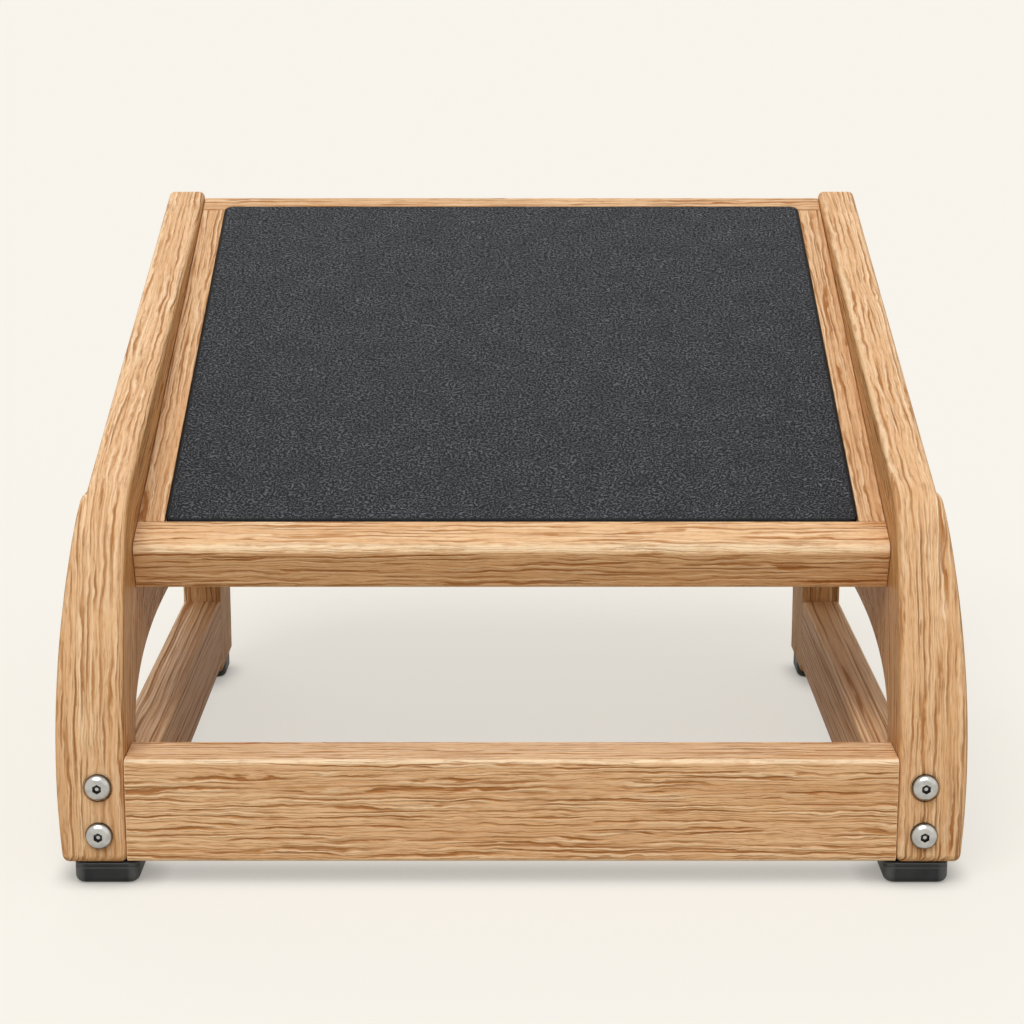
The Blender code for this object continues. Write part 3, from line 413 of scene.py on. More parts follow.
def thumb_back(height):
    """Depth at which the leg's thick part drops back to the panel."""
    for low, high in zip(THUMB_CURVE, THUMB_CURVE[1:]):
        if low.y <= height <= high.y:
            return low.x + (high.x - low.x) * (height - low.y) / (high.y - low.y)
    return THUMB_CURVE[0].x if height < ARCH_SPRING else THUMB_CURVE[-1].x


def outer_x(point):
    """Distance of the side frame's outer face from the middle of the footrest."""
    swell = SWELL_PROUD * (1 - ((point.y - SWELL_HEIGHT) / SWELL_REACH) ** 2)
    beside = ease((thumb_back(point.y) - point.x) / THUMB_BAND + 0.5)
    below = round_start((SHOULDER.y - point.y) / NOTCH_HEIGHT)
    return PANEL_OUTER_X + swell * beside * below


LEG_ROWS = 30
BEND_ROWS = 24
SHOULDER_ROWS = (-0.05, -0.025, -0.015, -0.009, -0.005, -0.002, 0.001, 0.02)
ARM_ROWS = 16
ARCH_STEP = 2.5
CAP_GRID = 7.0 * MM
CAP_MARGIN = 1.6 * MM
THUMB_ROW_HEIGHT = 3.0 * MM
THUMB_BAND_STEPS = (-0.62, -0.5, -0.38, -0.25, -0.12, 0.0, 0.12, 0.25, 0.38, 0.5, 0.62)
BAND_MARGIN = CAP_MARGIN * 0.6
LEG_BACK_ROWS = 6
SIDE_ROUND_STEPS = 6
TRIANGLE_EPSILON = 0.001 * MM
SPOT_FACE_REACH = 8.0 * MM
SPOT_FACE_LENGTH = 8.1 * MM


def side_outline():
    """Outline from the leg's lower front corner up, over the arm, and back round the arch."""
    bend_start = BEND.y - BEND_DROP
    heights = [LEG_CURVE_START + (bend_start - LEG_CURVE_START) * row / LEG_ROWS for row in range(LEG_ROWS)]
    drop = Vector((math.sin(PLATFORM_SLOPE), -math.cos(PLATFORM_SLOPE))) * ARM_END_DROP
    bend_end = bend_point(1.0)
    corners = [(leg_front(LEG_BOTTOM), LEG_BOTTOM, LEG_FOOT_ROUND)]
    corners += [(leg_front(height), height, 0.0) for height in heights]
    bend_steps = [row / BEND_ROWS for row in range(BEND_ROWS + 1)]
    bend_steps += [SHOULDER_BEND_STEP + step for step in SHOULDER_ROWS]
    corners += [(*bend_point(step), 0.0) for step in sorted(bend_steps)]
    corners += [(*bend_end.lerp(ARM_END, row / ARM_ROWS), 0.0) for row in range(1, ARM_ROWS)]
    corners += [
        (*ARM_END, ARM_END_ROUND),
        (*(ARM_END + drop), PANEL_HEEL_ROUND),
        (*PANEL_FOOT, PANEL_FOOT_ROUND),
    ]
    arch_steps = round(90 / ARCH_STEP)
    corners += [(*arch_point(90 - ARCH_STEP * step), 0.0) for step in range(arch_steps + 1)]
    for row in range(1, LEG_BACK_ROWS):
        height = ARCH_SPRING + (LEG_BOTTOM - ARCH_SPRING) * row / LEG_BACK_ROWS
        corners.append((LEG_DEPTH, height, 0.0))
    corners.append((LEG_DEPTH, LEG_BOTTOM, LEG_FOOT_ROUND))
    return rounded_outline(corners)


def inside_distance(loop, point):
    """How far inside a clockwise loop a point lies; less than nought outside it."""
    best = None
    signed = 0.0
    for start, end in zip(loop, loop[1:] + loop[:1]):
        along = end - start
        share = min(1.0, max(0.0, (point - start).dot(along) / along.length_squared))
        away = point - (start + along * share)
        if best is None or away.length < best:
            best = away.length
            signed = math.copysign(best, away.dot(Vector((along.y, -along.x))))
    return signed


def cap_points(loop):
    """Points over the outer face: a grid, and close rows across the thick part's rounded edge."""
    points = []
    rows = int((ARM_END.y - LEG_BOTTOM) / CAP_GRID)
    columns = int(ARM_END.x / CAP_GRID)
    half_band = THUMB_BAND * THUMB_BAND_STEPS[-1] + CAP_GRID / 2
    for row in range(rows + 1):
        for column in range(columns + 1):
            point = Vector((column * CAP_GRID, LEG_BOTTOM + row * CAP_GRID))
            beside_band = abs(thumb_back(point.y) - point.x) < half_band and point.y < SHOULDER.y
            if not beside_band and inside_distance(loop, point) > CAP_MARGIN:
                points.append(point)
    band_rows = int((SHOULDER.y - LEG_BOTTOM) / THUMB_ROW_HEIGHT)
    for row in range(band_rows):
        height = SHOULDER.y - (row + 0.5) * THUMB_ROW_HEIGHT
        for step in THUMB_BAND_STEPS:
            point = Vector((thumb_back(height) + THUMB_BAND * step, height))
            if inside_distance(loop, point) > BAND_MARGIN:
                points.append(point)
    return points


def side_frame(tag, sign, material):
    """Leg and arm in one piece, rounded all round, with a swelling outer face."""
    outline = clockwise(side_outline())
    base = [point for point, _ in outline]
    bm = bmesh.new()
    # Each vertex holds its share of painted edge highlight and wear.
    painted_light_and_wear = bm.verts.layers.float.new("painted_light_and_wear")

    def add_loop(loop, offset, amount):
        verts = []
        for point, (_, corner_light_and_wear) in zip(loop, outline):
            vert = bm.verts.new(upright(point.x, point.y, sign * offset(point)))
            vert[painted_light_and_wear] = max(amount, corner_light_and_wear)
            verts.append(vert)
        return verts

    loops = []
    for turn in reversed(quarter_turns(SIDE_ROUND_STEPS)):
        sunk = SIDE_ROUND * (1 - math.sin(turn))
        loop = inset(base, SIDE_ROUND * (1 - math.cos(turn)))
        loops.append(add_loop(loop, lambda point, sunk=sunk: SIDE_INNER_X + sunk, math.sin(2 * turn)))
    for turn in quarter_turns(SIDE_ROUND_STEPS):
        sunk = SIDE_ROUND * (1 - math.sin(turn))
        loop = inset(base, SIDE_ROUND * (1 - math.cos(turn)))
        loops.append(add_loop(loop, lambda point, sunk=sunk: outer_x(point) - sunk, math.sin(2 * turn)))
    join_loops(bm, loops)
    bm.faces.new(loops[0])
    inner = cap_points(loop)
    top = loops[-1] + [bm.verts.new(upright(point.x, point.y, sign * outer_x(point))) for point in inner]
    count = len(loop)
    edges = [(index, (index + 1) % count) for index in range(count)]
    result = delaunay_2d_cdt(loop + inner, edges, [], 1, TRIANGLE_EPSILON)
    for triangle in result[2]:
        bm.faces.new([top[result[3][corner][0]] for corner in triangle])
    bmesh.ops.recalc_face_normals(bm, faces=bm.faces)
    piece = make_object("oak_side_frame_" + tag, bm, material)
    cutters = []
    for number in (1, 2):
        low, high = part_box("stretcher_bolt_%s_%d" % (tag, number))
        centre = (low + high) / 2
        seat = low.y + BOLT_HEAD_HEIGHT
        start = (centre.x, seat - SPOT_FACE_REACH, centre.z)
        cutters.append(rod("seat", start, (0, 1, 0), SPOT_FACE_LENGTH, SPOT_FACE_RADIUS, 48))
    cut_out(piece, cutters)
    return finish_piece(piece, "side_frame_" + tag)


# Bars of the frame and the platform.

def bar(name, node, corners, rings, place, material):
    piece = make_object(name, ring_body(rounded_outline(corners), rings, place), material)
    return finish_piece(piece, node)


def rectangle(low, high, radii):
    """Corners of a rectangle with its own radius each, from the low corner round."""
    places = ((low[0], low[1]), (high[0], low[1]), (high[0], high[1]), (low[0], high[1]))
    return [(u, v, radius) for (u, v), radius in zip(places, radii)]


BORE_LENGTH = 50.0 * MM
BORE_GAP = 0.2 * MM


def stretcher(material):
    """Front stretcher with its tenons."""
    half = SIDE_INNER_X - JOINT_GAP
    outline = rounded_outline(rectangle(STRETCHER_LOW, STRETCHER_HIGH, STRETCHER_ROUNDS))
    rings = edge_rings(-half, half, END_ROUND, END_ROUND, 3)
    body = make_object("oak_stretcher", ring_body(outline, rings, upright), material)
    tenon_outline = rounded_outline(rectangle(TENON_LOW, TENON_HIGH, (0.0, 0.0, 0.0, 0.0)))
    tenon_rings = edge_rings(-TENON_HALF_LENGTH, TENON_HALF_LENGTH, TENON_END_ROUND, TENON_END_ROUND, 2)
    tenon = make_object("tenons", ring_body(tenon_outline, tenon_rings, upright), None)
    join = body.modifiers.new("tenons", "BOOLEAN")
    join.operation = "UNION"
    join.object = tenon
    settle(body)
    bpy.data.objects.remove(tenon)
    cutters = []
    for tag, _ in SIDES:
        for number in (1, 2):
            low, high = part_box("stretcher_bolt_%s_%d" % (tag, number))
            centre = (low + high) / 2
            start = (centre.x, low.y, centre.z)
            cutters.append(rod("bore", start, (0, 1, 0), BORE_LENGTH, BOLT_RADIUS + BORE_GAP, 24))
    cut_out(body, cutters)
    return finish_piece(body, "front_stretcher")


def side_rail(tag, material):
    low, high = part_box("side_rail_" + tag)
    corners = rectangle((low.x, low.z), (high.x, high.z), (SIDE_RAIL_ROUND,) * 4)
    rings = edge_rings(low.y + DEPTH_SHIFT, high.y + DEPTH_SHIFT, END_ROUND, END_ROUND, 3)
    return bar("oak_side_rail_" + tag, "side_rail_" + tag, corners, rings, lengthwise, material)


def rear_leg(tag, sign, material):
    """Upright that laps the inside of the panel and ends under the platform."""
    low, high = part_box("rear_leg_" + tag)
    lap_x = SIDE_INNER_X - JOINT_GAP
    lap_height = ARCH_TOP - JOINT_GAP
    radius = REAR_LEG_ROUND
    corners = [
        (sign * RAIL_INNER_X, low.z, radius),
        (sign * RAIL_OUTER_X, low.z, radius),
        (sign * RAIL_OUTER_X, lap_height, radius / 2),
        (sign * lap_x, lap_height, 0.0),
        (sign * lap_x, high.z + CUT_ALLOWANCE, 0.0),
        (sign * RAIL_INNER_X, high.z + CUT_ALLOWANCE, radius),
    ]
    edge = REAR_LEG_EDGE_ROUND
    rings = edge_rings(low.y + DEPTH_SHIFT, high.y + DEPTH_SHIFT, edge, edge, 5)
    bm = ring_body(rounded_outline(corners), rings, lengthwise)
    under = on_slope(0.0, -PLATFORM_THICKNESS - JOINT_GAP, 0.0)
    normal = on_slope(0.0, 1.0, 0.0) - on_slope(0.0, 0.0, 0.0)
    cut_plane = bmesh.ops.bisect_plane(
        bm,
        geom=bm.verts[:] + bm.edges[:] + bm.faces[:],
        plane_co=under,
        plane_no=normal,
        clear_outer=True,
    )
    rim = [item for item in cut_plane["geom_cut"] if isinstance(item, bmesh.types.BMEdge)]
    bmesh.ops.contextual_create(bm, geom=rim)
    bmesh.ops.recalc_face_normals(bm, faces=bm.faces)
    piece = make_object("oak_rear_leg_" + tag, bm, material)
    return finish_piece(piece, "rear_leg_" + tag)


RECESS_CUT_RISE = 5.0 * MM


def recess_cutter():
    """The space that the mat lies in."""
    corners = rectangle(
        (-RECESS_HALF_WIDTH, 0.0),
        (RECESS_HALF_WIDTH, RECESS_BACK),
        (0.0, 0.0, RECESS_ROUND, RECESS_ROUND),
    )
    rings = ((0.0, -RECESS_FLOOR, 0.0), (0.0, RECESS_CUT_RISE, 0.0))
    return make_object("recess", ring_body(rounded_outline(corners), rings, mat_slope), None)


def platform_rails(nose_material, back_material):
    half = SIDE_INNER_X - JOINT_GAP
    bottom = -PLATFORM_THICKNESS
    rings = edge_rings(-half, half, END_ROUND, END_ROUND, 3)
    nose = rectangle((0.0, bottom), (FRONT_RAIL_WIDTH, 0.0), NOSE_ROUNDS)
    bar("oak_nose_rail", "platform_front_rail", nose, rings, on_slope, nose_material)
    back = rectangle((BACK_RAIL_START, bottom), (PLATFORM_LENGTH, 0.0), BACK_RAIL_ROUNDS)
    body = make_object("oak_back_rail", ring_body(rounded_outline(back), rings, on_slope), back_material)
    cut_out(body, [recess_cutter()])
    finish_piece(body, "platform_back_rail")


def stile(tag, sign, material):
    inner = SIDE_INNER_X - STILE_WIDTH
    outer = SIDE_INNER_X - JOINT_GAP
    low_x, high_x = sorted((sign * inner, sign * outer))
    corners = rectangle((low_x, -PLATFORM_THICKNESS), (high_x, 0.0), (STILE_ROUND,) * 4)
    rings = edge_rings(STILE_START, STILE_END, END_ROUND, END_ROUND, 3)
    bm = ring_body(rounded_outline(corners, 4), rings, stile_slope)
    body = make_object("oak_stile_" + tag, bm, material)
    cut_out(body, [recess_cutter()])
    return finish_piece(body, "platform_stile_" + tag)


def rubber_mat(material):
    corners = rectangle((-MAT_HALF_WIDTH, MAT_FRONT), (MAT_HALF_WIDTH, MAT_BACK), (MAT_CORNER,) * 4)
    rings = edge_rings(MAT_PROUD - MAT_THICKNESS, MAT_PROUD, MAT_LOW_ROUND, MAT_ROUND, 5)
    return bar("ridged_rubber_mat", "rubber_mat", corners, rings, mat_slope, material)


# Bolts and feet.

DOME_STEPS = 14
TURN_STEPS = 56
MERGE_DISTANCE = 0.002 * MM
CUT_OVERLAP = 1.0 * MM


def bolt_profile(shank):
    """Half section (radius, height over the seat), from the head's middle to the shank's tip."""
    rise = BOLT_HEAD_HEIGHT - BOLT_RIM_HEIGHT
    spread = BOLT_HEAD_RADIUS - BOLT_CROWN_RADIUS
    profile = [(0.0, BOLT_HEAD_HEIGHT), (BOLT_CROWN_RADIUS - 0.25 * MM, BOLT_HEAD_HEIGHT)]
    for step in range(DOME_STEPS + 1):
        angle = math.pi / 2 * step / DOME_STEPS
        radius = BOLT_CROWN_RADIUS + spread * math.sin(angle)
        profile.append((radius, BOLT_RIM_HEIGHT + rise * math.cos(angle)))
    profile += [
        (BOLT_HEAD_RADIUS, 0.45 * MM),
        (BOLT_HEAD_RADIUS - 0.12 * MM, 0.12 * MM),
        (BOLT_HEAD_RADIUS - 0.4 * MM, 0.0),
        (BOLT_RADIUS, 0.0),
        (BOLT_RADIUS, BOLT_TIP_CHAMFER - shank),
        (BOLT_RADIUS - BOLT_TIP_CHAMFER, -shank),
        (0.0, -shank),
    ]
    return profile


def button_bolt(tag, number, material):
    """Domed head with a pinned hexagon socket, on its shank."""
    node = "stretcher_bolt_%s_%d" % (tag, number)
    low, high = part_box(node)
    centre = (low + high) / 2
    seat = low.y + BOLT_HEAD_HEIGHT
    profile = bolt_profile(high.y - seat)
    bm = bmesh.new()
    verts = [bm.verts.new((centre.x + radius, seat - height, centre.z)) for radius, height in profile]
    edges = [bm.edges.new(pair) for pair in zip(verts, verts[1:])]
    bmesh.ops.spin(
        bm,
        geom=verts + edges,
        cent=(centre.x, seat, centre.z),
        axis=(0, 1, 0),
        angle=2 * math.pi,
        steps=TURN_STEPS,
        use_merge=True,
    )
    bmesh.ops.remove_doubles(bm, verts=bm.verts, dist=MERGE_DISTANCE)
    bmesh.ops.recalc_face_normals(bm, faces=bm.faces)
    bolt = make_object("button_bolt_%s_%d" % (tag, number), bm, material)
    mouth = seat - BOLT_HEAD_HEIGHT
    socket_start = (centre.x, mouth - CUT_OVERLAP, centre.z)
    socket = rod("socket", socket_start, (0, 1, 0), SOCKET_DEPTH + CUT_OVERLAP, SOCKET_RADIUS, 6)
    pin_start = (centre.x, mouth + SOCKET_PIN_RECESS, centre.z)
    pin = rod("pin", pin_start, (0, 1, 0), SOCKET_DEPTH, SOCKET_PIN_RADIUS, 24)
    cut_out(socket, [pin])
    cut_out(bolt, [socket])
    # Painted shade in the socket, under and along the rim, and faintly on the lower side.
    mark_painted_shade(bolt, centre, seat, mouth)
    return finish_piece(bolt, node)


def mark_painted_shade(bolt, centre, seat, mouth):
    """Painted shade in a bolt's socket, under its rim, along the rim and, faintly, on its lower side."""
    painted_shade = bolt.data.attributes.new("painted_light_and_wear", "FLOAT", "POINT")
    for vert, value in zip(bolt.data.vertices, painted_shade.data):
        radius = math.hypot(vert.co.x - centre.x, vert.co.z - centre.z)
        deep = vert.co.y > mouth + SOCKET_PIN_RECESS + 0.2 * MM
        in_socket = deep and radius < BOLT_CROWN_RADIUS
        under_rim = vert.co.y > seat - 0.5 * MM and radius > BOLT_RADIUS
        near_rim = (radius - BOLT_RIM_SHADE_START) / (BOLT_HEAD_RADIUS - BOLT_RIM_SHADE_START)
        low_side = (centre.z - vert.co.z) / BOLT_HEAD_RADIUS * BOLT_LOW_PAINTED_SHADE
        value.value = 1.0 if in_socket or under_rim else min(1.0, max(0.0, near_rim, low_side))


# Rings round a foot's groove and its top edge: inset and height in millimetres, and painted highlight.
GROOVE_RINGS = (
    (0.0, -0.5, 0.0),
    (0.12, -0.22, 1.0),
    (0.42, -0.1, 0.0),
    (0.42, 0.1, 0.0),
    (0.12, 0.22, 1.0),
    (0.0, 0.5, 0.0),
)
FOOT_TOP_RINGS = ((0.0, -0.5, 0.0), (0.15, -0.15, 1.0), (0.5, 0.0, 0.0))


def rubber_foot(node, material):
    """Pad with a thin upper plate, a rounded lower rim and the recess for its screw."""
    low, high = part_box(node)
    near = (low.x, low.y + DEPTH_SHIFT)
    far = (high.x, high.y + DEPTH_SHIFT)
    outline = rounded_outline(rectangle(near, far, (FOOT_CORNER,) * 4))
    rings = []
    for turn in reversed(quarter_turns(7)):
        rings.append((FOOT_RIM * (1 - math.cos(turn)), FOOT_RIM * (1 - math.sin(turn)), 0.0))
    groove = high.z - FOOT_GROOVE_DROP
    for level, profile in ((groove, GROOVE_RINGS), (high.z, FOOT_TOP_RINGS)):
        for distance, rise, painted_light_and_wear in profile:
            rings.append((distance * MM, level + rise * MM, painted_light_and_wear))
    foot = make_object("pad_" + node, ring_body(outline, rings, standing), material)
    centre = (low + high) / 2
    start = (centre.x, centre.y, -CUT_OVERLAP)
    bore = rod("bore", start, (0, 0, 1), FOOT_BORE_DEPTH + CUT_OVERLAP, FOOT_BORE_RADIUS, 32)
    shank_bore = rod("shank_bore", start, (0, 0, 1), CUT_ALLOWANCE, FOOT_SHANK_RADIUS, 24)
    cut_out(foot, [bore, shank_bore])
    return finish_piece(foot, node)


# Materials.

def linear(red, green, blue):
    """A colour as read from a screen, as the light that it stands for."""
    values = []
    for value in (red, green, blue):
        share = value / 255
        values.append(share / 12.92 if share <= 0.04045 else ((share + 0.055) / 1.055) ** 2.4)
    return (*values, 1.0)


class Graph:
    """Short calls for the nodes of one material or group."""

    def __init__(self, tree):
        self.tree = tree

    def node(self, kind, **settings):
        node = self.tree.nodes.new(kind)
        for name, value in settings.items():
            setattr(node, name, value)
        return node

    def put(self, socket, value):
        if isinstance(value, bpy.types.NodeSocket):
            self.tree.links.new(value, socket)
        elif value is not None:
            socket.default_value = value

    def math(self, operation, first, second=None, third=None):
        node = self.node("ShaderNodeMath", operation=operation)
        for socket, value in zip(node.inputs, (first, second, third)):
            self.put(socket, value)
        return node.outputs[0]

    def times(self, first, second):
        return self.math("MULTIPLY", first, second)

    def minus(self, first, second):
        return self.math("SUBTRACT", first, second)

    def vector(self, operation, first, second=None):
        node = self.node("ShaderNodeVectorMath", operation=operation)
        self.put(node.inputs[0], first)
        self.put(node.inputs[1], second)
        return node.outputs[1] if operation == "DOT_PRODUCT" else node.outputs[0]

    def scaled(self, vector, factor):
        node = self.node("ShaderNodeVectorMath", operation="SCALE")
        self.put(node.inputs[0], vector)
        self.put(node.inputs[3], factor)
        return node.outputs[0]

    def combine(self, x, y, z):
        node = self.node("ShaderNodeCombineXYZ")
        for socket, value in zip(node.inputs, (x, y, z)):
            self.put(socket, value)
        return node.outputs[0]

    def separate(self, vector):
        node = self.node("ShaderNodeSeparateXYZ")
        self.put(node.inputs[0], vector)
        return node.outputs[0], node.outputs[1], node.outputs[2]

    def noise(self, vector, scale=1.0, detail=2.0, roughness=0.5, colour=False):
        node = self.node("ShaderNodeTexNoise")
        self.put(node.inputs["Vector"], vector)
        self.put(node.inputs["Scale"], scale)
        self.put(node.inputs["Detail"], detail)
        self.put(node.inputs["Roughness"], roughness)
        return node.outputs[1] if colour else node.outputs[0]

    def step(self, value, low, high, start=0.0, end=1.0):
        """Eases from start to end while the value goes from low to high."""
        node = self.node("ShaderNodeMapRange", interpolation_type="SMOOTHSTEP")
        for socket, number in zip(node.inputs, (value, low, high, start, end)):
            self.put(socket, number)
        return node.outputs[0]

    def mix(self, share, first, second, blend="MIX"):
        node = self.node("ShaderNodeMix", data_type="RGBA", blend_type=blend)
        self.put(node.inputs[0], share)
        self.put(node.inputs[6], first)
        self.put(node.inputs[7], second)
        return node.outputs[2]

    def place(self):
        """Place on the object, in millimetres."""
        return self.scaled(self.node("ShaderNodeTexCoord").outputs["Object"], 1000.0)

    # Painted light and wear that a piece's vertices hold: highlight on rounded oak and rubber edges, shade
    # on the bolts.
    def painted_light_and_wear(self):
        node = self.node("ShaderNodeAttribute", attribute_name="painted_light_and_wear")
        return node.outputs["Fac"]

    def in_view(self):
        """One for what the camera sees, by itself or in a gloss, and nought for other light."""
        path = self.node("ShaderNodeLightPath")
        return self.math("MAXIMUM", path.outputs["Is Camera Ray"], path.outputs["Is Glossy Ray"])


def new_material(name, roughness, metallic=0.0):
    material = bpy.data.materials.new(name)
    material.use_nodes = True
    shader = material.node_tree.nodes["Principled BSDF"]
    shader.inputs["Roughness"].default_value = roughness
    shader.inputs["Metallic"].default_value = metallic
    return material, Graph(material.node_tree), shader


def surface(graph, shader, colour, roughness, height, strength, relief):
    """Joins a colour, a roughness and a bump of a given relief to the shader."""
    bump = graph.node("ShaderNodeBump")
    bump.inputs["Strength"].default_value = strength
    bump.inputs["Distance"].default_value = relief
    graph.put(bump.inputs["Height"], height)
    graph.put(shader.inputs["Base Color"], colour)
    graph.put(shader.inputs["Roughness"], roughness)
    graph.put(shader.inputs["Normal"], bump.outputs["Normal"])


OAK_LIGHT = linear(242, 202, 158)
OAK_MIDDLE = linear(230, 184, 138)
OAK_WARM = linear(212, 156, 100)
OAK_STREAK = linear(166, 102, 46)
OAK_PORE = linear(140, 86, 40)
# Pale colour for painted highlights: beside the dark lines and, with some wear, on rounded edges.
OAK_PALE_HIGHLIGHT = linear(254, 226, 190)
OAK_LAYER = (0.70, 0.71, 0.0)
CLOSE_SPACING = 2.45
WIDE_SPACING = 3.3
FINE_SPACING = 1.15
RIDGE_TURN = 2.3

# Clouds of noise: repeats in a millimetre across and along the fibres, detail and roughness.
BROAD_CLOUD = (0.045, 0.0065, 1.5)
MIDDLE_CLOUD = (0.15, 0.020, 2.0)
WAVY_CLOUD = (0.10, 0.050)
SMALL_CLOUD = (0.34, 0.11, 2.0)
CLOSE_CLOUD = (0.24, 0.020, 2.0)
WIDE_CLOUD = (0.20, 0.015, 2.0)
FINE_CLOUD = (0.5, 0.045, 2.0)
PORE_CLOUD = (2.7, 0.13)
BAND_CLOUD = (0.09, 0.004, 2.0)
MOTTLE_CLOUD = (0.30, 0.10, 3.0, 0.6)

# How far the broad, the middle, the wavy and the small cloud turn each layer's wave.
CLOSE_TURNS = (17.0, 7.5, 5.0, 3.2)
WIDE_TURNS = (-20.0, 9.0, 4.5, 3.4)
FINE_TURNS = (31.0, 17.0, 9.0, 7.0)

# The levels of a cloud between which its layer gains strength, and the strengths there.
CLOSE_STRENGTH = (-0.08, 0.13, 0.08, 0.95)
WIDE_STRENGTH = (-0.02, 0.15, 0.0, 1.15)
FINE_STRENGTH = (-0.12, 0.10, 0.2, 1.0)

# Each line's colour, the share of it, and its height in the relief.
BOLD = (OAK_STREAK, 0.68, -0.9)
VALLEY = (OAK_WARM, 0.50, -0.3)
# The ridge's pale colour is a painted highlight.
RIDGE_HIGHLIGHT = (OAK_PALE_HIGHLIGHT, 0.58, 0.35)
FINE = (OAK_STREAK, 0.34, -0.35)
PORE = (OAK_PORE, 0.30, -0.25)


def oak_group():
    """Oak grain. Grain holds two places across the fibres and one along them, in millimetres."""
    tree = bpy.data.node_groups.new("oak_grain", "ShaderNodeTree")
    tree.interface.new_socket("Grain", in_out="INPUT", socket_type="NodeSocketVector")
    tree.interface.new_socket("Painted_Light_And_Wear", in_out="INPUT", socket_type="NodeSocketFloat")
    tree.interface.new_socket("Colour", in_out="OUTPUT", socket_type="NodeSocketColor")
    tree.interface.new_socket("Roughness", in_out="OUTPUT", socket_type="NodeSocketFloat")
    tree.interface.new_socket("Height", in_out="OUTPUT", socket_type="NodeSocketFloat")
    graph = Graph(tree)
    inputs = graph.node("NodeGroupInput")
    outputs = graph.node("NodeGroupOutput")
    grain = inputs.outputs["Grain"]

    def cloud(across, along, detail=1.0, roughness=0.5):
        """Noise with its own size across and along the fibres, about nought."""
        value = graph.noise(graph.vector("MULTIPLY", grain, (across, across, along)), 1.0, detail, roughness)
        return graph.minus(value, 0.5)

    clouds = [cloud(*sizes) for sizes in (BROAD_CLOUD, MIDDLE_CLOUD, WAVY_CLOUD, SMALL_CLOUD)]

    def wave(spacing, turns):
        """Layers that the clouds bend, as an angle."""
        angle = graph.times(graph.vector("DOT_PRODUCT", grain, OAK_LAYER), 2 * math.pi / spacing)
        for value, amount in zip(clouds, turns):
            angle = graph.math("MULTIPLY_ADD", value, amount, angle)
        return angle

    close_angle = wave(CLOSE_SPACING, CLOSE_TURNS)
    wide_angle = wave(WIDE_SPACING, WIDE_TURNS)
    fine_angle = wave(FINE_SPACING, FINE_TURNS)
    close_strength = graph.step(cloud(*CLOSE_CLOUD), *CLOSE_STRENGTH)
    wide_strength = graph.step(cloud(*WIDE_CLOUD), *WIDE_STRENGTH)
    fine_strength = graph.step(cloud(*FINE_CLOUD), *FINE_STRENGTH)

    def either(low, turn=0.0):
        """The stronger of the close and the wide layers, where their wave stands above a level."""
        values = []
        for angle, strength in ((close_angle, close_strength), (wide_angle, wide_strength)):
            turned = graph.math("SINE", graph.math("ADD", angle, turn))
            values.append(graph.times(graph.step(turned, low, 1.0), strength))
        return graph.math("MAXIMUM", *values)

    valley = either(-0.6)
    bold_line = either(0.35)
    # Pale lines beside the dark ones: a painted highlight on the relief's ridges.
    ridge_highlight_line = either(0.1, RIDGE_TURN)
    fine_wave = graph.math("SINE", fine_angle)
    fine_line = graph.times(graph.step(fine_wave, 0.0, 1.0), fine_strength)
    pore_line = graph.step(cloud(*PORE_CLOUD), 0.09, 0.21)
    bands = cloud(*BAND_CLOUD)
    mottle = cloud(*MOTTLE_CLOUD)

    colour = graph.mix(graph.step(bands, -0.14, 0.14), OAK_LIGHT, OAK_MIDDLE)
    colour = graph.mix(graph.step(mottle, 0.0, 0.2, 0.0, 0.35), colour, OAK_WARM)
    lines = ((valley, VALLEY), (ridge_highlight_line, RIDGE_HIGHLIGHT), (fine_line, FINE), (bold_line, BOLD), (pore_line, PORE))
    height = 1.0
    for line, (tint, share, rise) in lines:
        colour = graph.mix(graph.times(line, share), colour, tint)
        height = graph.math("MULTIPLY_ADD", line, rise, height)
    # Rounded edges turn pale: painted highlight with some wear.
    worn_and_lit = graph.times(inputs.outputs["Painted_Light_And_Wear"], graph.step(mottle, 0.15, -0.15, 0.35, 0.85))
    colour = graph.mix(worn_and_lit, colour, OAK_PALE_HIGHLIGHT)

    rough = 0.42
    for line, amount in ((bold_line, 0.16), (pore_line, 0.12), (mottle, 0.25)):
        rough = graph.math("MULTIPLY_ADD", line, amount, rough)

    tree.links.new(colour, outputs.inputs["Colour"])
    tree.links.new(rough, outputs.inputs["Roughness"])
    tree.links.new(height, outputs.inputs["Height"])
    return tree


OAK_GROUP = oak_group()


def straight_grain(*axes):
    """Grain from two axes across the fibres and one along them."""
    def build(graph):
        place = graph.place()
        return graph.combine(*[graph.vector("DOT_PRODUCT", place, axis) for axis in axes])
    return build


GRAIN_BLEND = 24.0
GRAIN_TURN_REACH = 40.0


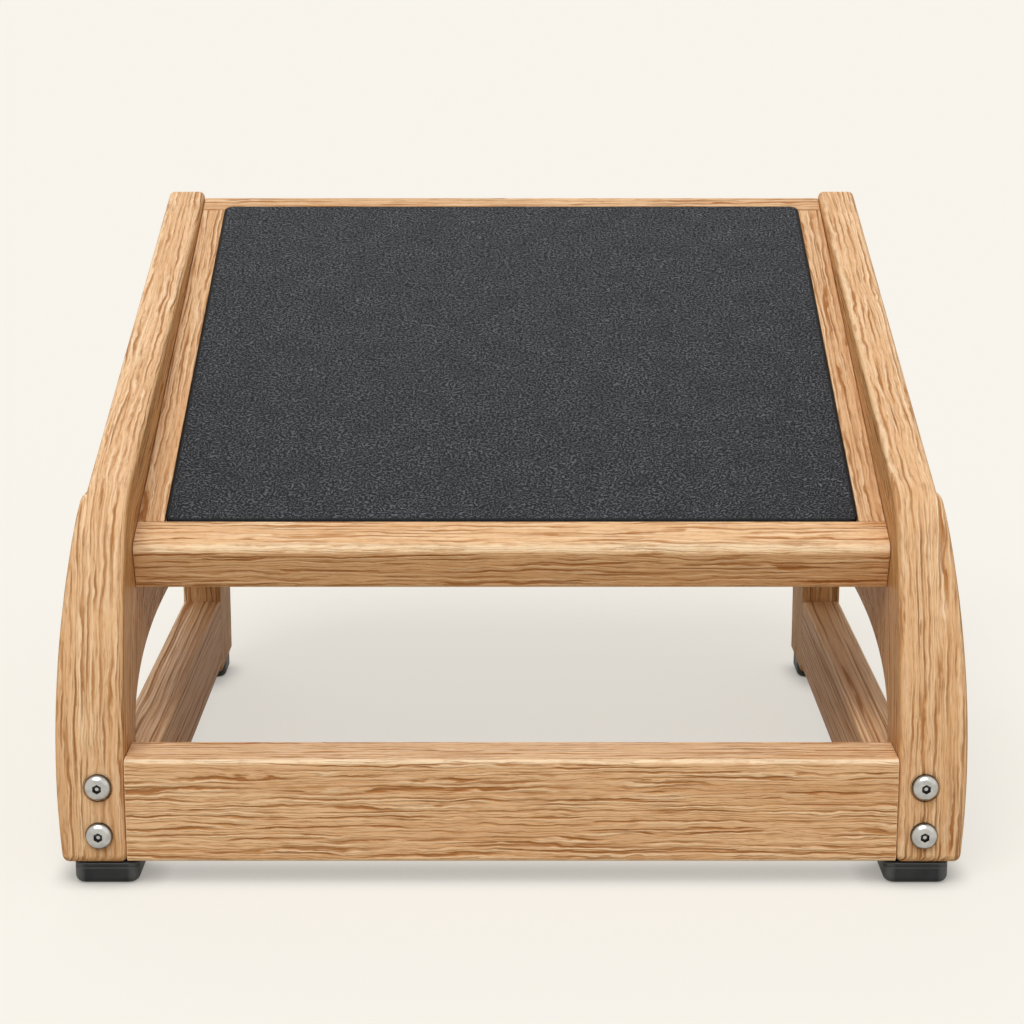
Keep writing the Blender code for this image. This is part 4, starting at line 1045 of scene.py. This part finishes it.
def bent_grain(graph):
    """Grain that runs up the curved leg, over the bend and along the arm."""
    x, y, z = graph.separate(graph.place())
    depth = graph.math("ADD", y, DEPTH_SHIFT / MM)
    radius = LEG_CURVE_RADIUS / MM
    rise = graph.math("MAXIMUM", graph.minus(z, LEG_CURVE_START / MM), 0.0)
    chord = graph.math("SQRT", graph.minus(radius ** 2, graph.times(rise, rise)))
    behind_leg = graph.math("ADD", depth, graph.minus(chord, radius))
    lean = (ARM_END - BEND).normalized()
    from_bend = graph.minus(depth, BEND.x / MM)
    above_bend = graph.minus(z, BEND.y / MM)
    risen = graph.times(above_bend, lean.x)
    below_arm = graph.minus(graph.times(from_bend, lean.y), risen)
    risen = graph.times(above_bend, lean.y)
    along_arm = graph.math("ADD", graph.times(from_bend, lean.x), risen)
    layer = graph.math("SMOOTH_MIN", behind_leg, below_arm, GRAIN_BLEND)
    nearer_arm = graph.minus(behind_leg, below_arm)
    on_arm = graph.step(nearer_arm, -GRAIN_TURN_REACH, GRAIN_TURN_REACH)
    along = graph.math("MULTIPLY_ADD", graph.minus(along_arm, above_bend), on_arm, above_bend)
    return graph.combine(x, layer, along)


# Painted shade, darker and warmer, for faces that look sideways.
OAK_SIDE_PAINTED_SHADE = (0.86, 0.735, 0.50, 1.0)
OAK_GLOSS = 0.07
OAK_RELIEF = 0.42 * MM


def oak(name, grain, side_shade=0.0, edge_light_and_wear=1.0, tint_with_painted_shade=None):
    """Oak with its grain's run. Faces that look sideways may get painted shade, darker and warmer, and a
    tint may lay painted shade over the whole piece.
    """
    material, graph, shader = new_material(name, 0.45)
    shader.inputs["Specular IOR Level"].default_value = OAK_GLOSS
    group = graph.node("ShaderNodeGroup", node_tree=OAK_GROUP)
    graph.put(group.inputs["Grain"], grain(graph))
    # Painted highlight and wear along rounded edges, squared so that it stays narrow.
    painted_light_and_wear = graph.times(graph.painted_light_and_wear(), graph.painted_light_and_wear())
    graph.put(group.inputs["Painted_Light_And_Wear"], graph.times(painted_light_and_wear, edge_light_and_wear))
    colour = group.outputs["Colour"]
    # A tint of painted shade over the whole piece.
    if tint_with_painted_shade is not None:
        colour = graph.mix(1.0, colour, tint_with_painted_shade, "MULTIPLY")
    # Painted shade on faces that look sideways.
    if side_shade > 0.0:
        facing = graph.separate(graph.node("ShaderNodeTexCoord").outputs["Normal"])[0]
        side = graph.step(graph.math("ABSOLUTE", facing), 0.6, 0.95, 0.0, side_shade)
        colour = graph.mix(side, colour, OAK_SIDE_PAINTED_SHADE, "MULTIPLY")
    surface(graph, shader, colour, group.outputs["Roughness"], group.outputs["Height"], 0.9, OAK_RELIEF)
    return material


MAT_GRAIN = 0.86
MAT_DRIFT = 6.0
MAT_BORDER = 1.9
# Painted shadow along the mat's edge.
MAT_EDGE_SHADE = linear(15, 16, 18)
MAT_DARK = linear(12, 13, 16)
MAT_GREY = linear(25, 27, 32)
# Paler crests: dust and a painted sheen.
MAT_CREST_SHEEN_AND_DUST = linear(104, 108, 116)
MAT_GLOSS = 0.16
MAT_RELIEF = 0.50 * MM


def mat_rubber():
    """Dark rubber with the fine pebbled and wrinkled grain of leather, its crests paler with dust and a
    painted sheen, and a plain border darkened by a painted shadow along the edge.
    """
    material, graph, shader = new_material("mat_rubber", 0.6)
    shader.inputs["Specular IOR Level"].default_value = MAT_GLOSS
    x, y, z = graph.separate(graph.place())
    cosine = math.cos(PLATFORM_SLOPE)
    sine = math.sin(PLATFORM_SLOPE)
    run = graph.math("MULTIPLY_ADD", z, sine, graph.times(y, cosine))
    flat = graph.combine(x, run, 0.0)
    drift = graph.noise(graph.vector("MULTIPLY", flat, (0.13, 0.13, 0.0)), detail=1.0, colour=True)
    bent = graph.vector("ADD", flat, graph.scaled(drift, MAT_DRIFT))
    cells = graph.noise(graph.vector("MULTIPLY", bent, (MAT_GRAIN, MAT_GRAIN, 0.0)), detail=0.7)
    ridge = graph.step(cells, 0.44, 0.66)
    clouds = graph.noise(graph.vector("MULTIPLY", flat, (0.05, 0.05, 0.0)), detail=2.0)
    speckle = graph.noise(graph.vector("MULTIPLY", flat, (3.2, 3.2, 0.0)), detail=2.0)
    colour = graph.mix(graph.step(speckle, 0.3, 0.7), MAT_DARK, MAT_GREY)
    # Crests turn paler: dust and a painted sheen.
    crest_sheen_and_dust = graph.step(clouds, 0.3, 0.7, 0.50, 0.76)
    colour = graph.mix(graph.times(ridge, crest_sheen_and_dust), colour, MAT_CREST_SHEEN_AND_DUST)
    front = on_slope(MAT_FRONT, 0.0, 0.0)
    front_run = (front.y * cosine + front.z * sine) / MM
    back_run = front_run + (MAT_BACK - MAT_FRONT) / MM
    from_side = graph.minus(MAT_HALF_WIDTH / MM, graph.math("ABSOLUTE", x))
    from_front = graph.minus(run, front_run)
    from_end = graph.math("MINIMUM", from_front, graph.minus(back_run, run))
    # A plain border without ridges, darkened as a painted shadow along the mat's edge.
    border = graph.step(graph.math("MINIMUM", from_side, from_end), MAT_BORDER, MAT_BORDER - 0.7)
    colour = graph.mix(graph.times(border, 0.9), colour, MAT_EDGE_SHADE)
    ridge = graph.times(ridge, graph.minus(1.0, border))
    height = graph.math("MULTIPLY_ADD", speckle, 0.2, ridge)
    roughness = graph.math("MULTIPLY_ADD", ridge, -0.18, 0.66)
    surface(graph, shader, colour, roughness, height, 1.0, MAT_RELIEF)
    return material


FOOT_DARK = linear(32, 35, 37)
FOOT_GREY = linear(43, 46, 48)
# Pale painted highlight for the feet's edges.
FOOT_EDGE_HIGHLIGHT = linear(92, 95, 98)
FOOT_GLOSS = 0.27
FOOT_RELIEF = 0.08 * MM


def foot_rubber():
    """Dark moulded rubber with a fine matt texture, and a painted highlight along the edges that its rings
    mark.
    """
    material, graph, shader = new_material("foot_rubber", 0.55)
    shader.inputs["Specular IOR Level"].default_value = FOOT_GLOSS
    place = graph.place()
    cloud = graph.noise(place, 0.12, 3.0)
    speckle = graph.noise(place, 3.5, 2.0)
    colour = graph.mix(graph.step(cloud, 0.3, 0.7), FOOT_DARK, FOOT_GREY)
    # Painted highlight on the foot's groove and top edge.
    colour = graph.mix(graph.times(graph.painted_light_and_wear(), 0.8), colour, FOOT_EDGE_HIGHLIGHT)
    roughness = graph.step(speckle, 0.3, 0.7, 0.42, 0.6)
    surface(graph, shader, colour, roughness, speckle, 0.35, FOOT_RELIEF)
    return material


# Colour of the painted shade in the bolts' sockets and along their rims.
METAL_PAINTED_SHADE = linear(34, 34, 36)
METAL_RELIEF = 0.01 * MM


def metal(name, pale, dark, rough_low, rough_high, line_scale):
    """Metal with faint turning lines, a slow change of tone and gloss, and painted shade in its corners."""
    material, graph, shader = new_material(name, rough_low, 1.0)
    place = graph.place()
    lines = graph.noise(graph.vector("MULTIPLY", place, (line_scale, 0.3, line_scale)), detail=3.0)
    stains = graph.noise(place, 0.22, 2.0)
    colour = graph.mix(graph.step(stains, 0.35, 0.7), pale, dark)
    # Painted shade where a bolt's vertices call for it.
    colour = graph.mix(graph.times(graph.painted_light_and_wear(), 0.92), colour, METAL_PAINTED_SHADE)
    roughness = graph.step(lines, 0.3, 0.7, rough_low, rough_high)
    surface(graph, shader, colour, roughness, lines, 0.05, METAL_RELIEF)
    return material


WOOD_RELIEF = 0.1 * MM


def plain_wood(name, pale, dark, along, ply_height=0.0):
    """Fine straight wood for the hidden core and dowels, with plies where they are asked for."""
    material, graph, shader = new_material(name, 0.6)
    place = graph.place()
    fibres = graph.noise(graph.vector("MULTIPLY", place, along), detail=3.0)
    share = graph.step(fibres, 0.35, 0.7)
    if ply_height > 0.0:
        _, y, z = graph.separate(place)
        sunk = graph.times(y, math.sin(PLATFORM_SLOPE))
        rise = graph.minus(graph.times(z, math.cos(PLATFORM_SLOPE)), sunk)
        layer = graph.math("PINGPONG", rise, ply_height)
        share = graph.math("MAXIMUM", share, graph.step(layer, ply_height * 0.9, ply_height))
    colour = graph.mix(share, pale, dark)
    roughness = graph.step(fibres, 0.3, 0.7, 0.5, 0.7)
    surface(graph, shader, colour, roughness, fibres, 0.3, WOOD_RELIEF)
    return material


RUN = (0.0, math.cos(PLATFORM_SLOPE), math.sin(PLATFORM_SLOPE))
RISE = (0.0, -math.sin(PLATFORM_SLOPE), math.cos(PLATFORM_SLOPE))
X_AXIS = (1.0, 0.0, 0.0)
Y_AXIS = (0.0, 1.0, 0.0)
Z_AXIS = (0.0, 0.0, 1.0)
CALM_Y_AXIS = (0.0, 0.18, 0.0)    # a shorter axis draws the grain out, so that it runs straighter

# Tints of painted shade for single pieces; the nose rail's tint warms its shade.
STILE_PAINTED_SHADE = (0.885, 0.858, 0.83, 1.0)
NOSE_PAINTED_WARM_SHADE = (1.0, 0.985, 0.96, 1.0)
SIDE_RAIL_PAINTED_SHADE = (0.94, 0.90, 0.84, 1.0)
REAR_LEG_PAINTED_SHADE = (0.95, 0.92, 0.85, 1.0)

OAK_BENT = oak("oak_bent", bent_grain, 0.75, 0.12)
OAK_ACROSS = oak("oak_across", straight_grain(Y_AXIS, Z_AXIS, X_AXIS), 0.0, 2.0)
OAK_NOSE = oak("oak_nose", straight_grain(RUN, RISE, X_AXIS), 0.0, 1.7, NOSE_PAINTED_WARM_SHADE)
OAK_BACK = oak("oak_back", straight_grain(RUN, RISE, X_AXIS), 0.0, 0.5, STILE_PAINTED_SHADE)
OAK_DEEP = oak("oak_deep", straight_grain(X_AXIS, Z_AXIS, CALM_Y_AXIS), 0.8, 0.7, SIDE_RAIL_PAINTED_SHADE)
OAK_UPRIGHT = oak("oak_upright", straight_grain(X_AXIS, Y_AXIS, Z_AXIS), 0.4, 0.4, REAR_LEG_PAINTED_SHADE)
OAK_SLOPE = oak("oak_slope", straight_grain(X_AXIS, RISE, RUN), 0.0, 0.5, STILE_PAINTED_SHADE)
MAT = mat_rubber()
FOOT = foot_rubber()
STEEL = metal("stainless", linear(196, 196, 194), linear(176, 176, 175), 0.17, 0.24, 1.4)
ZINC = metal("zinc", linear(196, 198, 202), linear(160, 162, 166), 0.30, 0.45, 2.0)
BIRCH = plain_wood("birch_core", linear(222, 194, 154), linear(176, 140, 98), (0.03, 0.9, 0.9), 1.4)
BEECH = plain_wood("beech", linear(224, 188, 148), linear(190, 146, 104), (1.2, 0.05, 1.2))


def dress_nodes():
    """Materials of the CAD nodes that keep their own shape."""
    for name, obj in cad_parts.items():
        if name.startswith("cleat") and "screw" not in name:
            material = OAK_SLOPE
        elif name == "platform_core":
            material = BIRCH
        elif "dowel" in name:
            material = BEECH
        elif "screw" in name or "sleeve" in name:
            material = ZINC
        else:
            continue
        for slot in obj.material_slots:
            slot.material = material


def make_camera():
    """Camera at the photograph's own viewing angle."""
    data = bpy.data.cameras.new("photo_camera")
    data.sensor_width = SENSOR_WIDTH
    data.lens = FOCAL_PIXELS * SENSOR_WIDTH / IMAGE_SIZE
    data.shift_x = (IMAGE_SIZE / 2 - CENTRE_PIXEL_X) / IMAGE_SIZE
    data.clip_end = CAMERA_FAR_CLIP
    camera = bpy.data.objects.new("photo_camera", data)
    camera.location = CAMERA_PLACE
    camera.rotation_euler = (math.pi / 2 - CAMERA_PITCH, 0.0, 0.0)
    bpy.context.scene.collection.objects.link(camera)
    bpy.context.scene.camera = camera


def make_sun(name, direction, strength, softness):
    data = bpy.data.lights.new(name, "SUN")
    data.energy = strength
    data.angle = math.radians(softness)
    sun = bpy.data.objects.new(name, data)
    down = Vector((0.0, 0.0, -1.0))
    sun.rotation_euler = down.rotation_difference(Vector(direction).normalized()).to_euler()
    bpy.context.scene.collection.objects.link(sun)


def make_floor():
    """Pale floor. The camera sees part of it at its full level, so that the shadow stays soft. Near the
    object an occlusion node darkens it, a painted contact shadow.
    """
    bm = bmesh.new()
    bmesh.ops.create_grid(bm, x_segments=1, y_segments=1, size=FLOOR_REACH)
    material, graph, shader = new_material("pale_floor", 0.9)
    shader.inputs["Base Color"].default_value = (*FLOOR_ALBEDO, 1.0)
    shader.inputs["Specular IOR Level"].default_value = 0.0
    # Painted contact shadow: the floor is darker where the object is near.
    near = graph.node("ShaderNodeAmbientOcclusion")
    near.inputs["Distance"].default_value = PAINTED_CONTACT_REACH
    near.samples = 8
    painted_contact_shadow = graph.step(near.outputs["AO"], 0.2, 1.0, 1.0 - PAINTED_CONTACT_DARKNESS, 1.0)
    tint_with_painted_shade = graph.vector("MULTIPLY", FLOOR_SEEN, graph.combine(painted_contact_shadow, painted_contact_shadow, painted_contact_shadow))
    seen = graph.node("ShaderNodeEmission")
    graph.put(seen.inputs["Color"], tint_with_painted_shade)
    catcher = graph.node("ShaderNodeBsdfDiffuse")
    graph.put(catcher.inputs["Color"], tint_with_painted_shade)
    soft = graph.node("ShaderNodeMixShader")
    soft.inputs[0].default_value = FLOOR_SHADOW_SHARE
    graph.put(soft.inputs[1], seen.outputs[0])
    graph.put(soft.inputs[2], catcher.outputs[0])
    either = graph.node("ShaderNodeMixShader")
    graph.put(either.inputs[0], graph.in_view())
    graph.put(either.inputs[1], shader.outputs[0])
    graph.put(either.inputs[2], soft.outputs[0])
    output = material.node_tree.nodes["Material Output"]
    graph.put(output.inputs["Surface"], either.outputs[0])
    make_object("floor", bm, material)


def make_world():
    """Soft sky, brighter overhead, with the floor's own colour behind it for the camera."""
    world = bpy.data.worlds.new("studio")
    world.use_nodes = True
    graph = Graph(world.node_tree)
    background = world.node_tree.nodes["Background"]
    up = graph.separate(graph.node("ShaderNodeTexCoord").outputs["Generated"])[2]
    sky = graph.mix(graph.step(up, 0.0, 0.9), (*SKY_HORIZON, 1.0), (*SKY_ZENITH, 1.0))
    graph.put(background.inputs["Color"], graph.mix(graph.in_view(), sky, (*FLOOR_SEEN, 1.0)))
    background.inputs["Strength"].default_value = 1.0
    bpy.context.scene.world = world


def build():
    for tag, sign in SIDES:
        side_frame(tag, sign, OAK_BENT)
        side_rail(tag, OAK_DEEP)
        rear_leg(tag, sign, OAK_UPRIGHT)
        stile(tag, sign, OAK_SLOPE)
        for number in (1, 2):
            button_bolt(tag, number, STEEL)
        for place in ("front", "rear"):
            rubber_foot("foot_%s_%s" % (place, tag), FOOT)
    stretcher(OAK_ACROSS)
    platform_rails(OAK_NOSE, OAK_BACK)
    rubber_mat(MAT)
    dress_nodes()


make_camera()
make_floor()
make_world()
for lamp in LAMPS:
    make_sun(*lamp)
build()
bpy.context.scene.view_settings.view_transform = "Standard"
